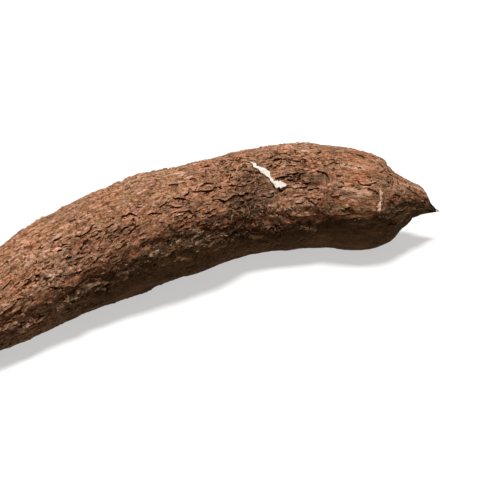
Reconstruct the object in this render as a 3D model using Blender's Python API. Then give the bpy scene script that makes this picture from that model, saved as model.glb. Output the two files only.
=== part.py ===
"""Cassava root: one solid, lofted along its own bent axis (metres, +Z up).

The root lies on the plane z = 0 with its stalk end towards +X and its tail towards -X.
The middle of its box stands over the origin, and its underside is pressed flat where it rests.
"""

import math

import bmesh
import bpy
from mathutils import Vector

NODE = "cassava_root"
MM = 0.001

# The axis from the torn stalk end to the tail, in mm:
# x, y, height of the underside over the plane (below 0 is pressed flat), radius.
AXIS = (
    (190.5, -37.0, 20.8, 1.4),  # fibre left on the torn end
    (184.5, -35.5, 21.6, 3.4),
    (179.5, -34.0, 20.6, 7.0),
    (176.0, -33.0, 19.0, 10.6),  # rim of the stalk
    (171.5, -31.0, 18.6, 13.0),
    (163.0, -28.5, 12.4, 19.6),
    (153.0, -24.5, 2.8, 29.0),  # shoulder
    (140.0, -17.0, -0.6, 33.6),
    (122.0, -3.0, -0.9, 34.0),
    (104.0, 5.0, -0.9, 35.0),
    (80.0, 13.0, -0.9, 34.6),  # crown of the bend
    (50.0, 15.0, -0.9, 34.2),
    (18.0, 9.0, -0.9, 35.6),
    (-12.0, 6.0, -0.9, 35.8),
    (-44.0, 1.0, -0.9, 33.6),
    (-80.0, -7.0, -0.9, 30.2),
    (-116.0, -20.0, -0.5, 26.0),
    (-148.0, -30.0, 1.2, 19.0),
    (-174.0, -37.0, 3.6, 10.6),
    (-186.0, -40.0, 5.6, 5.6),
    (-191.0, -41.0, 8.0, 2.2),  # broken tip of the tail
)
RINGS_PER_STATION = 5
SIDES = 40

# Slow swellings of the girth: share of the radius, waves round the root,
# waves per metre along it, and phase in turns.
SWELLINGS = (
    (0.013, 2, 5.5, 0.10),
    (0.010, 3, -9.0, 0.35),
    (0.008, 1, 16.0, 0.60),
    (0.006, 5, 13.0, 0.80),
    (0.005, 4, -24.0, 0.25),
)

BARK_COLOUR = (0.155, 0.078, 0.045, 1.0)
BARK_ROUGHNESS = 0.85


def clear_scene():
    """Remove every object of the scene the script is run in."""
    for thing in list(bpy.data.objects):
        bpy.data.objects.remove(thing, do_unlink=True)


def slope(before, after, distance):
    """Change of a station per metre between two others."""
    return [(b - a) / distance for a, b in zip(before, after)]


def cubic(start, end, slope_start, slope_end, length, t):
    """Point at share t of the smooth cubic from one station to the next."""
    rise = t * t * (3.0 - 2.0 * t)
    lean_start = t * (1.0 - t) ** 2 * length
    lean_end = -t * t * (1.0 - t) * length
    return [
        a + (b - a) * rise + m * lean_start + n * lean_end
        for a, b, m, n in zip(start, end, slope_start, slope_end)
    ]


def smooth_axis():
    """Rings of the smooth axis: distance along it in metres, centre, and radius."""
    stations = [
        [x * MM, y * MM, (underside + radius) * MM, radius * MM]
        for x, y, underside, radius in AXIS
    ]
    gaps = [math.dist(a[:3], b[:3]) for a, b in zip(stations, stations[1:])]
    last = len(stations) - 1
    slopes = [slope(stations[0], stations[1], gaps[0])]
    for i in range(1, last):
        slopes.append(slope(stations[i - 1], stations[i + 1], gaps[i - 1] + gaps[i]))
    slopes.append(slope(stations[-2], stations[-1], gaps[-1]))

    rings = []
    along = 0.0
    for i in range(last):
        for step in range(RINGS_PER_STATION):
            t = step / RINGS_PER_STATION
            x, y, z, radius = cubic(
                stations[i], stations[i + 1], slopes[i], slopes[i + 1], gaps[i], t
            )
            rings.append((along + t * gaps[i], Vector((x, y, z)), radius))
        along += gaps[i]
    x, y, z, radius = stations[-1]
    rings.append((along, Vector((x, y, z)), radius))
    return rings


def swelling(along, angle):
    """Factor on the radius at a distance along the root and an angle round it."""
    total = 1.0
    for share, waves_round, waves_along, phase in SWELLINGS:
        total += share * math.cos(
            waves_round * angle + math.tau * (waves_along * along + phase)
        )
    return total


def ring_points(along, centre, radius, forward):
    """Points of one cross-section, square to the axis, with none below the plane."""
    side = forward.cross(Vector((0.0, 0.0, 1.0))).normalized()
    up = side.cross(forward)
    points = []
    for i in range(SIDES):
        angle = math.tau * i / SIDES
        reach = radius * swelling(along, angle)
        point = centre + reach * (math.cos(angle) * side + math.sin(angle) * up)
        point.z = max(point.z, 0.0)
        points.append(point)
    return points


def extrude_ring(bm, edges, points):
    """Extrude an open rim of edges and move the new rim onto the given points."""
    made = bmesh.ops.extrude_edge_only(bm, edges=edges)["geom"]
    new_verts = [item for item in made if isinstance(item, bmesh.types.BMVert)]
    for vert, point in zip(new_verts, points):
        vert.co = point
    return [
        item
        for item in made
        if isinstance(item, bmesh.types.BMEdge) and item.is_boundary
    ]


def loft(rings):
    """Mesh of the root: a circle extruded from ring to ring and capped at both ends."""
    directions = [
        (rings[min(i + 1, len(rings) - 1)][1] - rings[max(i - 1, 0)][1]).normalized()
        for i in range(len(rings))
    ]
    bm = bmesh.new()
    bmesh.ops.create_circle(bm, cap_ends=False, segments=SIDES, radius=rings[0][2])
    bm.verts.ensure_lookup_table()
    for vert, point in zip(bm.verts, ring_points(*rings[0], directions[0])):
        vert.co = point
    rim = list(bm.edges)
    for ring, forward in zip(rings[1:], directions[1:]):
        rim = extrude_ring(bm, rim, ring_points(*ring, forward))
    bmesh.ops.holes_fill(bm, edges=bm.edges, sides=SIDES)
    bmesh.ops.recalc_face_normals(bm, faces=bm.faces)
    return bm


def bark_material():
    """Dull brown bark."""
    material = bpy.data.materials.new("bark")
    material.use_nodes = True
    shader = material.node_tree.nodes["Principled BSDF"]
    shader.inputs["Base Color"].default_value = BARK_COLOUR
    shader.inputs["Roughness"].default_value = BARK_ROUGHNESS
    shader.inputs["Metallic"].default_value = 0.0
    return material


def main():
    """Build the root as one named object."""
    clear_scene()
    mesh = bpy.data.meshes.new(NODE)
    bm = loft(smooth_axis())
    bm.to_mesh(mesh)
    bm.free()
    mesh.shade_smooth()
    mesh.materials.append(bark_material())
    root = bpy.data.objects.new(NODE, mesh)
    bpy.context.scene.collection.objects.link(root)


main()
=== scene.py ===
"""Looks of the cassava root: flaking bark, torn stalk end, bared flesh, dry soil and studio."""

import functools
import logging
import math
import random
from abc import ABC, abstractmethod
from collections.abc import Sequence
from dataclasses import dataclass, field
from enum import Enum

import bmesh
import bpy
import numpy as np
from bpy.types import Curve, Material, Mesh, Node, NodeSocket, NodeTree, Object
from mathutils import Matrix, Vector, noise


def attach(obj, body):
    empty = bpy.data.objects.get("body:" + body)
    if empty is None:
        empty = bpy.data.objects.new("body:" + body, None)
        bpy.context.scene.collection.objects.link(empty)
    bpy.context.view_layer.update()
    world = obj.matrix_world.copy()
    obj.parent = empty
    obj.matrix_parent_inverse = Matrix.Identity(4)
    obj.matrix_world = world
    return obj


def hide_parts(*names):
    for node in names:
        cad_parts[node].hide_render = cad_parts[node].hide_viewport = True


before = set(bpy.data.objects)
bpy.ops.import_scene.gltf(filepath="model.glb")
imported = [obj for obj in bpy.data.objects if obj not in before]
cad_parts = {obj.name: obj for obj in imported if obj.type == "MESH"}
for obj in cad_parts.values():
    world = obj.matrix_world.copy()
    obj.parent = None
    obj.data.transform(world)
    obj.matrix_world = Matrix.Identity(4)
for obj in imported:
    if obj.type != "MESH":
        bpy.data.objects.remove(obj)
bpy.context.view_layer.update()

BODY = "root"
NODE = "cassava_root"
BAKE_MAP = "OFBake"
MM = 0.001
FULL_TURN = 360.0
Colour = tuple[float, float, float, float]
Ramp = tuple[float, float, float, float]
Axes = tuple[float, float, float]
Span = tuple[float, float]
Spot = tuple[float, float]
Array = np.ndarray

log = logging.getLogger("cassava_root")


def smoothstep(low: float, high: float, values: Array) -> Array:
    """Smooth rise of values from 0 at low to 1 at high, or a fall where high is the lower."""
    share = np.clip((values - low) / (high - low), 0.0, 1.0)
    return share * share * (3.0 - 2.0 * share)


def band(start: float, end: float, soft: float, values: Array) -> Array:
    """Mask that is 1 from start to end and fades over soft outside them."""
    return smoothstep(start - soft, start, values) * smoothstep(end + soft, end, values)


@dataclass(frozen=True)
class RootAxis:
    """The root's bent axis and slow swellings, the same as those of its solid.

    Stations are x, y, height of the underside and radius, in mm, from the torn stalk end
    to the tail. Swellings are the share of the radius, waves round the root, waves per
    metre along it, and phase in turns.
    """

    stations: tuple[tuple[float, float, float, float], ...] = (
        (190.5, -37.0, 20.8, 1.4),
        (184.5, -35.5, 21.6, 3.4),
        (179.5, -34.0, 20.6, 7.0),
        (176.0, -33.0, 19.0, 10.6),
        (171.5, -31.0, 18.6, 13.0),
        (163.0, -28.5, 12.4, 19.6),
        (153.0, -24.5, 2.8, 29.0),
        (140.0, -17.0, -0.6, 33.6),
        (122.0, -3.0, -0.9, 34.0),
        (104.0, 5.0, -0.9, 35.0),
        (80.0, 13.0, -0.9, 34.6),
        (50.0, 15.0, -0.9, 34.2),
        (18.0, 9.0, -0.9, 35.6),
        (-12.0, 6.0, -0.9, 35.8),
        (-44.0, 1.0, -0.9, 33.6),
        (-80.0, -7.0, -0.9, 30.2),
        (-116.0, -20.0, -0.5, 26.0),
        (-148.0, -30.0, 1.2, 19.0),
        (-174.0, -37.0, 3.6, 10.6),
        (-186.0, -40.0, 5.6, 5.6),
        (-191.0, -41.0, 8.0, 2.2),
    )
    swellings: tuple[tuple[float, int, float, float], ...] = (
        (0.013, 2, 5.5, 0.10),
        (0.010, 3, -9.0, 0.35),
        (0.008, 1, 16.0, 0.60),
        (0.006, 5, 13.0, 0.80),
        (0.005, 4, -24.0, 0.25),
    )

    def rows(self) -> Array:
        """Stations in metres.

        Returns:
            One row of x, y, height of the centre and radius for each station.
        """
        table = np.array(self.stations) * MM
        table[:, 2] += table[:, 3]
        return table

    def marks_along(self) -> Array:
        """Distance of each station from the stalk end along the axis, in metres."""
        gaps = np.linalg.norm(np.diff(self.rows()[:, :3], axis=0), axis=1)
        return np.concatenate(([0.0], np.cumsum(gaps)))

    def length(self) -> float:
        """Length of the root along its axis, in metres."""
        return float(self.marks_along()[-1])

    def at(self, along: Array) -> Array:
        """Points of the smooth axis.

        Args:
            along: Metres from the stalk end.

        Returns:
            One row for each distance: x, y, height of the centre, radius.
        """
        rows, marks = self.rows(), self.marks_along()
        slopes = np.zeros(rows.shape)
        slopes[1:-1] = (rows[2:] - rows[:-2]) / (marks[2:] - marks[:-2])[:, None]
        slopes[0] = (rows[1] - rows[0]) / (marks[1] - marks[0])
        slopes[-1] = (rows[-1] - rows[-2]) / (marks[-1] - marks[-2])
        first = np.clip(np.searchsorted(marks, along, side="right") - 1, 0, len(rows) - 2)
        gap = (marks[first + 1] - marks[first])[:, None]
        t = (along[:, None] - marks[first][:, None]) / gap
        rise = t * t * (3.0 - 2.0 * t)
        lean = slopes[first] * t * (1.0 - t) ** 2 - slopes[first + 1] * t * t * (1.0 - t)
        return rows[first] + (rows[first + 1] - rows[first]) * rise + lean * gap

    def swelling(self, along: Array, angle: Array) -> Array:
        """Factor on the radius.

        Args:
            along: Metres from the stalk end.
            angle: Radians round the root.

        Returns:
            The factor at each point.
        """
        total = np.ones(np.broadcast(along, angle).shape)
        for share, waves_round, waves_along, phase in self.swellings:
            total += share * np.cos(
                waves_round * angle + math.tau * (waves_along * along + phase)
            )
        return total


class Scar(Enum):
    """Kind of a listed mark on the bark."""

    FISSURE = "fissure"
    FLESH = "flesh"
    PALE = "pale"
    STAIN = "stain"
    DUST = "dust"


@dataclass(frozen=True)
class Mark:
    """One scar drawn on the unrolled bark.

    The path's points are mm along from the stalk end and degrees round the root, with the
    back at 0, the top at 90, the front at 180 and the underside at 270.
    """

    kind: Scar
    path: tuple[Spot, ...]
    width: float
    depth: float

    def distance(self, along: Array, round_: Array, girth: float) -> Array:
        """Distance of unrolled points from the path.

        Args:
            along: Mm from the stalk end.
            round_: Distances round the root from its back, in mm.
            girth: Length of a full turn, in mm.

        Returns:
            Distance of each point from the path, in mm.
        """
        nearest = np.full(along.shape, np.inf)
        spots = [(x, degrees / FULL_TURN * girth) for x, degrees in self.path]
        for (x0, y0), (x1, y1) in zip(spots, spots[1:]):
            run, rise = x1 - x0, y1 - y0
            share = ((along - x0) * run + (round_ - y0) * rise) / (run * run + rise * rise)
            share = np.clip(share, 0.0, 1.0)
            gap = np.hypot(along - x0 - share * run, round_ - y0 - share * rise)
            nearest = np.minimum(nearest, gap)
        return nearest


# Width and depth of each mark in mm, and its path, by kind.
MARK_ROWS = {
    Scar.STAIN: (
        (11.0, 0.0, ((137, 124), (141, 140), (146, 158))),
        (9.0, 0.0, ((124, 142), (138, 152), (158, 160))),
        (8.0, 0.0, ((141, 124), (152, 140), (167, 154))),
        (6.0, 0.0, ((188, 161), (168, 158), (146, 160))),
        (6.0, 0.0, ((108, 130), (96, 134), (84, 130))),
    ),
    Scar.FLESH: (
        (0.6, 0.0, ((132.6, 110), (129, 116.5), (126.1, 122.5), (124, 129))),
        (0.7, 0.0, ((119.5, 136), (113.5, 137))),
    ),
    Scar.PALE: (
        (0.6, -0.2, ((47, 139), (46.7, 148))), (0.6, -0.2, ((48.6, 154), (48.6, 162))),
    ),
    Scar.DUST: (
        (1.4, -0.2, ((44.7, 166.5), (44, 169))),
        (1.6, -0.3, ((278.6, 174), (273, 178), (268.4, 179.5))),
        (1.4, -0.3, ((300.4, 190), (296.5, 196.5))),
        (1.6, -0.3, ((254.5, 178), (252.7, 176.5), (246.6, 180))),
        (1.4, -0.3, ((263.8, 180), (261.9, 183))), (1.3, -0.3, ((282.3, 179.5), (277.7, 181.5))),
        (1.3, -0.3, ((249.1, 187.5), (247.5, 186))), (1.3, -0.3, ((290.8, 169), (287.9, 168.5))),
        (1.2, -0.2, ((136, 182), (130, 183))),
        (1.4, 0.0, ((67.6, 114), (61.9, 114.5), (56.4, 113.5))),
        (1.1, 0.0, ((64.2, 140), (58.5, 142), (56.4, 143.5))),
        (1.1, 0.0, ((65.9, 150.5), (60.2, 148.5), (56, 148))),
        (3.6, 0.0, ((28, 115), (24, 110), (20, 107))),
        (1.3, -0.3, ((274, 101), (269.3, 101), (264.7, 102))),
        (1.2, -0.3, ((278.6, 106.5), (274.9, 107.5))), (1.6, -0.2, ((197, 89), (189.5, 88.5))),
        (1.2, -0.2, ((216.7, 117), (210.6, 115.5))), (1.7, -0.2, ((102.5, 187), (90.9, 192))),
        (1.8, -0.2, ((150, 189), (138, 193.5))), (1.7, -0.2, ((185.6, 188), (177.5, 189))),
        (1.5, -0.3, ((229.6, 170), (225.5, 169))), (1.4, -0.3, ((214.4, 163.5), (207.6, 166))),
        (1.5, -0.3, ((205.4, 158.5), (199.3, 159.5), (191.8, 162.5))),
        (1.4, -0.3, ((199.3, 169), (196.3, 167))), (1.4, -0.3, ((196.8, 173), (193.5, 173))),
        (1.4, -0.3, ((190.3, 171.5), (187.3, 169.5))), (1.3, -0.3, ((187, 159), (183, 161.5))),
    ),
    Scar.FISSURE: (
        (0.7, 0.4, ((59.6, 136.5), (57.4, 139.5), (56.4, 142.5))),
        (1.1, 0.5, ((133.2, 118.5), (131, 120), (128.8, 122))),
        (1.0, 0.4, ((118, 143.8), (113, 143.5), (109, 140.5))),
        (1.0, 0.5, ((54.4, 134.2), (52.5, 131), (51.2, 128))),
        (1.3, 0.4, ((52.6, 139), (49.9, 142))), (0.8, 0.4, ((67, 133), (65, 135))),
        (0.8, 0.4, ((40, 122), (37, 121))), (1.0, 0.6, ((27, 126), (23, 132), (20, 136))),
        (1.2, 0.8, ((270, 119), (267, 121), (262, 121), (256, 117))),
        (1.1, 0.8, ((277, 141), (274, 136), (269, 131), (265, 130))),
    ),
}
MARKS = tuple(
    Mark(kind, path, width, depth) for kind, rows in MARK_ROWS.items() for width, depth, path in rows
)


# Upper limit of the painted shade on the underside: mm along, and degrees round.
UNDERSIDE = (
    (14, 146), (36, 154), (50, 169), (65, 176), (85, 180), (103, 179), (125, 183), (150, 179),
    (175, 168), (190, 165), (205, 155), (215, 157), (230, 165), (250, 171), (266, 173),
)


@dataclass
class Relief:
    """What the bark does at each point of the root's surface.

    Heights are in mm, outwards. Masks go from 0 to 1.
    """

    height: Array
    masks: dict[str, Array]


@dataclass(frozen=True)
class Waves:
    """Smooth noise on the unrolled bark.

    Its features are long along the root and wide round it, in mm. Its place in the noise
    makes it its own. Each of its layers has features half the size of the last one's.
    """

    long: float
    wide: float
    place: float
    height: float = 1.0
    layers: int = 1


@dataclass(frozen=True)
class CrackNet:
    """Thin cracks along the zero lines of one noise, kept where another noise is high."""

    line: Waves
    thin: Span
    patch: Waves
    kept: Span


@dataclass(frozen=True)
class Zones:
    """Parts of the bark that look different, each a mask from 0 to 1."""

    down: Array
    neck: Array
    torn: Array
    calm: Array
    even: Array
    # Stretch towards the tail, where the underside is painted paler.
    dry: Array


@dataclass(frozen=True)
class BarkRelief:
    """Plates, fissures, grains and scars of the bark, as a height over the smooth root.

    Places along the root, sizes and heights are in mm. A span runs from where a mask is 0
    to where it is 1, and a band has a start, an end and the width of its fades. A value
    named flat is the share of the relief that a zone loses, and one named dark is how
    strongly a feature shows in the crack mask.
    """

    girth_radius: float = 34.0
    stalk_girth: float = 0.36
    narrowing: Span = (12.0, 52.0)
    noise_step: float = 11.7
    finer_strength: float = 0.8
    finer_ratio: float = 2.0

    spike_span: Span = (11.0, 7.0)
    torn_span: Span = (17.0, 14.0)
    neck_span: Span = (56.0, 34.0)
    calm_band: Axes = (56.0, 82.0, 14.0)
    down_span: Span = (-0.10, -0.75)
    tail_zone_span: Span = (252.0, 318.0)
    tail_zone_waves: Waves = Waves(17.0, 9.0, 22.0, 24.0, 3)
    calm_flat: float = 0.75
    down_flat: float = 0.5
    even_flat: float = 0.5
    neck_plate_flat: float = 0.6
    neck_swell_flat: float = 0.7
    stalk_span: Span = (0.0, 7.0)
    tail_span: Span = (404.8, 391.8)
    end_relief: float = 0.15
    tip_trim: float = 0.8

    shakes: tuple[Waves, ...] = (
        Waves(3.2, 2.6, 1.0, 2.4),
        Waves(3.2, 2.6, 2.0, 1.6),
        Waves(3.2, 2.6, 3.0, 1.6),
    )
    swells: tuple[Waves, Waves] = (Waves(34.0, 24.0, 4.0, 0.8), Waves(15.0, 11.0, 5.0, 0.5))
    grains: tuple[Waves, Waves] = (Waves(2.8, 2.2, 11.0, 0.24), Waves(5.6, 3.6, 12.0, 0.34))
    splinters: tuple[Waves, Waves] = (Waves(26.0, 6.0, 15.0, 1.1), Waves(14.0, 3.0, 16.0, 0.6))
    streaks: Waves = Waves(17.0, 2.4, 13.0, 0.28)
    rings: Waves = Waves(2.4, 26.0, 14.0, 0.30)

    plates: Waves = Waves(19.0, 7.5, 6.0, layers=2)
    plate_rise: float = 0.9
    plate_levels: float = 3.4
    plate_middle: float = 3.0
    plate_height: float = 0.50
    plate_step: Span = (0.0, 0.20)
    foot_after: Span = (0.16, 0.0)
    foot_before: Span = (0.90, 1.0)
    rim_band: Axes = (0.18, 0.34, 0.12)
    fissures: CrackNet = CrackNet(
        Waves(21.0, 5.5, 7.0), (0.08, 0.0), Waves(24.0, 15.0, 8.0), (0.05, 0.28)
    )
    short_cracks: CrackNet = CrackNet(
        Waves(7.0, 3.0, 9.0), (0.13, 0.0), Waves(9.0, 7.0, 10.0), (0.02, 0.30)
    )
    fissure_depth: float = 0.6
    short_depth: float = 0.5
    # How dark the fissures, short cracks and plate feet are in the crack mask: painted shade in
    # these recesses.
    fissure_dark: float = 0.8
    short_dark: float = 0.9
    foot_dark: float = 0.45

    even_waves: Waves = Waves(30.0, 16.0, 22.0)
    even_wander: float = 0.18
    even_top: Span = (0.72, 0.90)
    even_along: Span = (140.0, 200.0)
    even_patches: Span = (0.10, 0.40)
    even_patch_share: float = 0.8
    bend_band: Axes = (80.0, 205.0, 25.0)
    bend_front: Span = (-0.25, -0.55)
    bend_levels: float = 1.7
    peeled_waves: Waves = Waves(22.0, 8.0, 17.0, 0.8)
    peeled_levels: Span = (2.7, 1.7)

    # Limits of the painted shade on the underside, of the painted dusk shade above it, and of the
    # lighter strip far below.
    border_waves: tuple[Waves, Waves] = (Waves(16.0, 10.0, 20.0, 3.6), Waves(5.0, 3.0, 21.0, 3.6))
    under_span: Span = (-1.6, 1.4)
    dusk_span: Span = (-16.0, 0.0)
    deep_span: Span = (4.0, 14.0)
    # Towards the tail the underside's painted shade fades and the underside is laid paler.
    tail_shade_fade: float = 0.55
    tail_lightening: float = 1.2
    lit_fade: float = 0.75
    lit_start: Span = (40.0, 60.0)
    lit_end: Span = (155.0, 130.0)
    stain_shake: float = 2.2
    mark_shake: float = 0.7
    mark_core: float = 0.45

    def girth(self) -> float:
        """Length of a full turn on the unrolled bark, in mm."""
        return math.tau * self.girth_radius

    def unrolled(self, along: Array, angle: Array) -> Array:
        """Seamless straightened coordinates, which narrow towards the stalk end.

        Args:
            along: Mm from the stalk end.
            angle: Radians round the root.

        Returns:
            One row of x along the root and y, z round it for each point, in mm.
        """
        widening = (1.0 - self.stalk_girth) * smoothstep(*self.narrowing, along)
        radius = self.girth_radius * (self.stalk_girth + widening)
        return np.column_stack((along, radius * np.cos(angle), radius * np.sin(angle)))

    def wander(self, spots: Array, *layers: Waves) -> Array:
        """Sum of smooth noises.

        Args:
            spots: Straightened coordinates, in mm.
            *layers: Noises to add up.

        Returns:
            The sum at each spot.
        """
        total = np.zeros(len(spots))
        for waves in layers:
            shift = waves.place * self.noise_step
            scaled = (spots / (waves.long, waves.wide, waves.wide) + shift).tolist()
            if waves.layers == 1:
                found = [noise.noise(spot) for spot in scaled]
            else:
                finer = self.finer_strength, self.finer_ratio, waves.layers
                found = [noise.fractal(spot, *finer) for spot in scaled]
            total += waves.height * np.array(found)
        return total

    def cracks(self, spots: Array, bent: Array, net: CrackNet) -> Array:
        """Mask of a net of thin cracks at straightened coordinates and their ragged copy."""
        found = smoothstep(*net.thin, np.abs(self.wander(bent, net.line)))
        return found * smoothstep(*net.kept, self.wander(spots, net.patch))

    def zones(self, spots: Array, along: Array, angle: Array) -> Zones:
        """Zones that the points lie in.

        Args:
            spots: Straightened coordinates, in mm.
            along: Mm from the stalk end.
            angle: Radians round the root.

        Returns:
            The mask of each zone.
        """
        return Zones(
            down=smoothstep(*self.down_span, np.sin(angle)),
            neck=smoothstep(*self.neck_span, along),
            torn=smoothstep(*self.torn_span, along),
            calm=band(*self.calm_band, along),
            even=self.even(spots, along, angle),
            dry=smoothstep(*self.tail_zone_span, along + self.wander(spots, self.tail_zone_waves)),
        )

    def shape(self, along: Array, angle: Array) -> Relief:
        """Height of the bark and the masks for its finish.

        Args:
            along: Mm from the stalk end.
            angle: Radians round the root.

        Returns:
            The relief at each point.
        """
        spots = self.unrolled(along, angle)
        jitter = np.column_stack([self.wander(spots, shake) for shake in self.shakes])
        bent = spots + jitter
        zones = self.zones(spots, along, angle)
        rough = (1.0 - self.calm_flat * zones.calm) * (1.0 - self.down_flat * zones.down)
        rough *= (1.0 - zones.torn) * (1.0 - self.even_flat * zones.even)
        level = (self.wander(bent, self.plates) + self.plate_rise) * self.plate_levels
        share = level - np.floor(level)
        foot = smoothstep(*self.foot_after, share) + smoothstep(*self.foot_before, share)
        fissure = self.cracks(spots, bent, self.fissures)
        short = self.cracks(spots, bent, self.short_cracks)

        steps = np.floor(level) + smoothstep(*self.plate_step, share) - self.plate_middle
        plates = steps * self.plate_height * (1.0 - self.neck_plate_flat * zones.neck)
        height = self.wander(spots, *self.swells) * (1.0 - self.neck_swell_flat * zones.neck)
        height += rough * (plates - self.fissure_depth * fissure - self.short_depth * short)
        height += self.wander(spots, *self.grains) * (1.0 - self.down_flat * zones.down)
        height += self.wander(bent, self.streaks) * zones.calm
        height += self.wander(bent, self.rings) * zones.neck
        height += self.wander(spots, *self.splinters) * zones.torn

        # Painted shade: the crack mask darkens the fissures, the short cracks and the feet of the
        # plate steps.
        dark = self.fissure_dark * fissure + self.short_dark * short + self.foot_dark * foot
        masks = {
            "crack": np.clip(rough * dark, 0.0, 1.0),
            # Painted highlight: the rims of the plate steps are laid lighter.
            "rim": np.clip(rough * band(*self.rim_band, share), 0.0, 1.0),
            "peeled": self.peeled(spots, along, angle, level) * (1.0 - zones.torn),
            "torn": zones.torn,
            "spike": smoothstep(*self.spike_span, along),
            "neck": zones.neck,
            "calm": zones.calm,
            "even": zones.even,
        }
        masks.update(self.shaded(spots, along, angle, zones.dry))
        for kind in (Scar.FLESH, Scar.PALE, Scar.STAIN):
            masks[kind.value] = np.zeros(len(along))
        # Towards the tail the underside is laid with the pale dust colour, so that it is lighter
        # there.
        masks[Scar.DUST.value] = self.tail_lightening * masks["under"] * zones.dry
        relief = Relief(height, masks)
        self.scar(relief, along, angle, jitter)
        ends = smoothstep(*self.stalk_span, along) * smoothstep(*self.tail_span, along)
        relief.height *= self.end_relief + (1.0 - self.end_relief) * ends
        relief.height -= self.tip_trim * smoothstep(*self.stalk_span[::-1], along)
        return relief

    def even(self, spots: Array, along: Array, angle: Array) -> Array:
        """Mask of the evener, granular bark, most of it along the top.

        Args:
            spots: Straightened coordinates, in mm.
            along: Mm from the stalk end.
            angle: Radians round the root.

        Returns:
            The mask at each point.
        """
        noisy = self.wander(spots, self.even_waves)
        top = smoothstep(*self.even_top, np.sin(angle) + self.even_wander * noisy)
        patches = self.even_patch_share * smoothstep(*self.even_patches, noisy)
        return np.maximum(top * smoothstep(*self.even_along, along), patches)

    def peeled(
        self, spots: Array, along: Array, angle: Array, level: Array
    ) -> Array:
        """Mask of the reddish inner bark, bared in low layers and over the bend's front.

        Args:
            spots: Straightened coordinates, in mm.
            along: Mm from the stalk end.
            angle: Radians round the root.
            level: Layer of the bark at each point, with its share of the next.

        Returns:
            The mask at each point.
        """
        bend = band(*self.bend_band, along) * smoothstep(*self.bend_front, np.cos(angle))
        lower = level - self.bend_levels * bend - self.wander(spots, self.peeled_waves)
        return smoothstep(*self.peeled_levels, lower)

    def shaded(
        self, spots: Array, along: Array, angle: Array, dry: Array
    ) -> dict[str, Array]:
        """Masks of the painted shade on and above the underside, all with the same ragged limit.

        Args:
            spots: Straightened coordinates, in mm.
            along: Mm from the stalk end.
            angle: Radians round the root.
            dry: Mask of the stretch towards the tail, where the underside is painted paler.

        Returns:
            The underside itself, the dusk that fades in above it, and the lighter strip
            deep below its limit.
        """
        limit = np.radians(np.interp(along, *zip(*UNDERSIDE)))
        below = self.girth_radius * (np.sin(limit) - np.sin(angle))
        below += self.wander(spots, *self.border_waves)
        lit = smoothstep(*self.lit_start, along) * smoothstep(*self.lit_end, along)
        return {
            "under": smoothstep(*self.under_span, below) * (1.0 - self.tail_shade_fade * dry),
            "dusk": smoothstep(*self.dusk_span, below) * (1.0 - self.lit_fade * lit),
            "deep": np.maximum(smoothstep(*self.deep_span, below), dry),
        }

    def scar(
        self, relief: Relief, along: Array, angle: Array, jitter: Array
    ) -> None:
        """Cut the listed marks into a relief.

        Args:
            relief: Relief to change.
            along: Mm from the stalk end.
            angle: Radians round the root.
            jitter: Small shifts that make the marks' edges ragged, in mm.
        """
        round_ = angle * self.girth_radius
        for mark in MARKS:
            shake = self.stain_shake if mark.kind is Scar.STAIN else self.mark_shake
            gap = mark.distance(
                along + shake * jitter[:, 0], round_ + shake * jitter[:, 1], self.girth()
            )
            cut = smoothstep(mark.width, self.mark_core * mark.width, gap)
            relief.height -= mark.depth * cut
            name = "crack" if mark.kind is Scar.FISSURE else mark.kind.value
            relief.masks[name] = np.maximum(relief.masks[name], cut)
            if mark.kind is Scar.FLESH:
                relief.masks["crack"] *= 1.0 - cut


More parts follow.
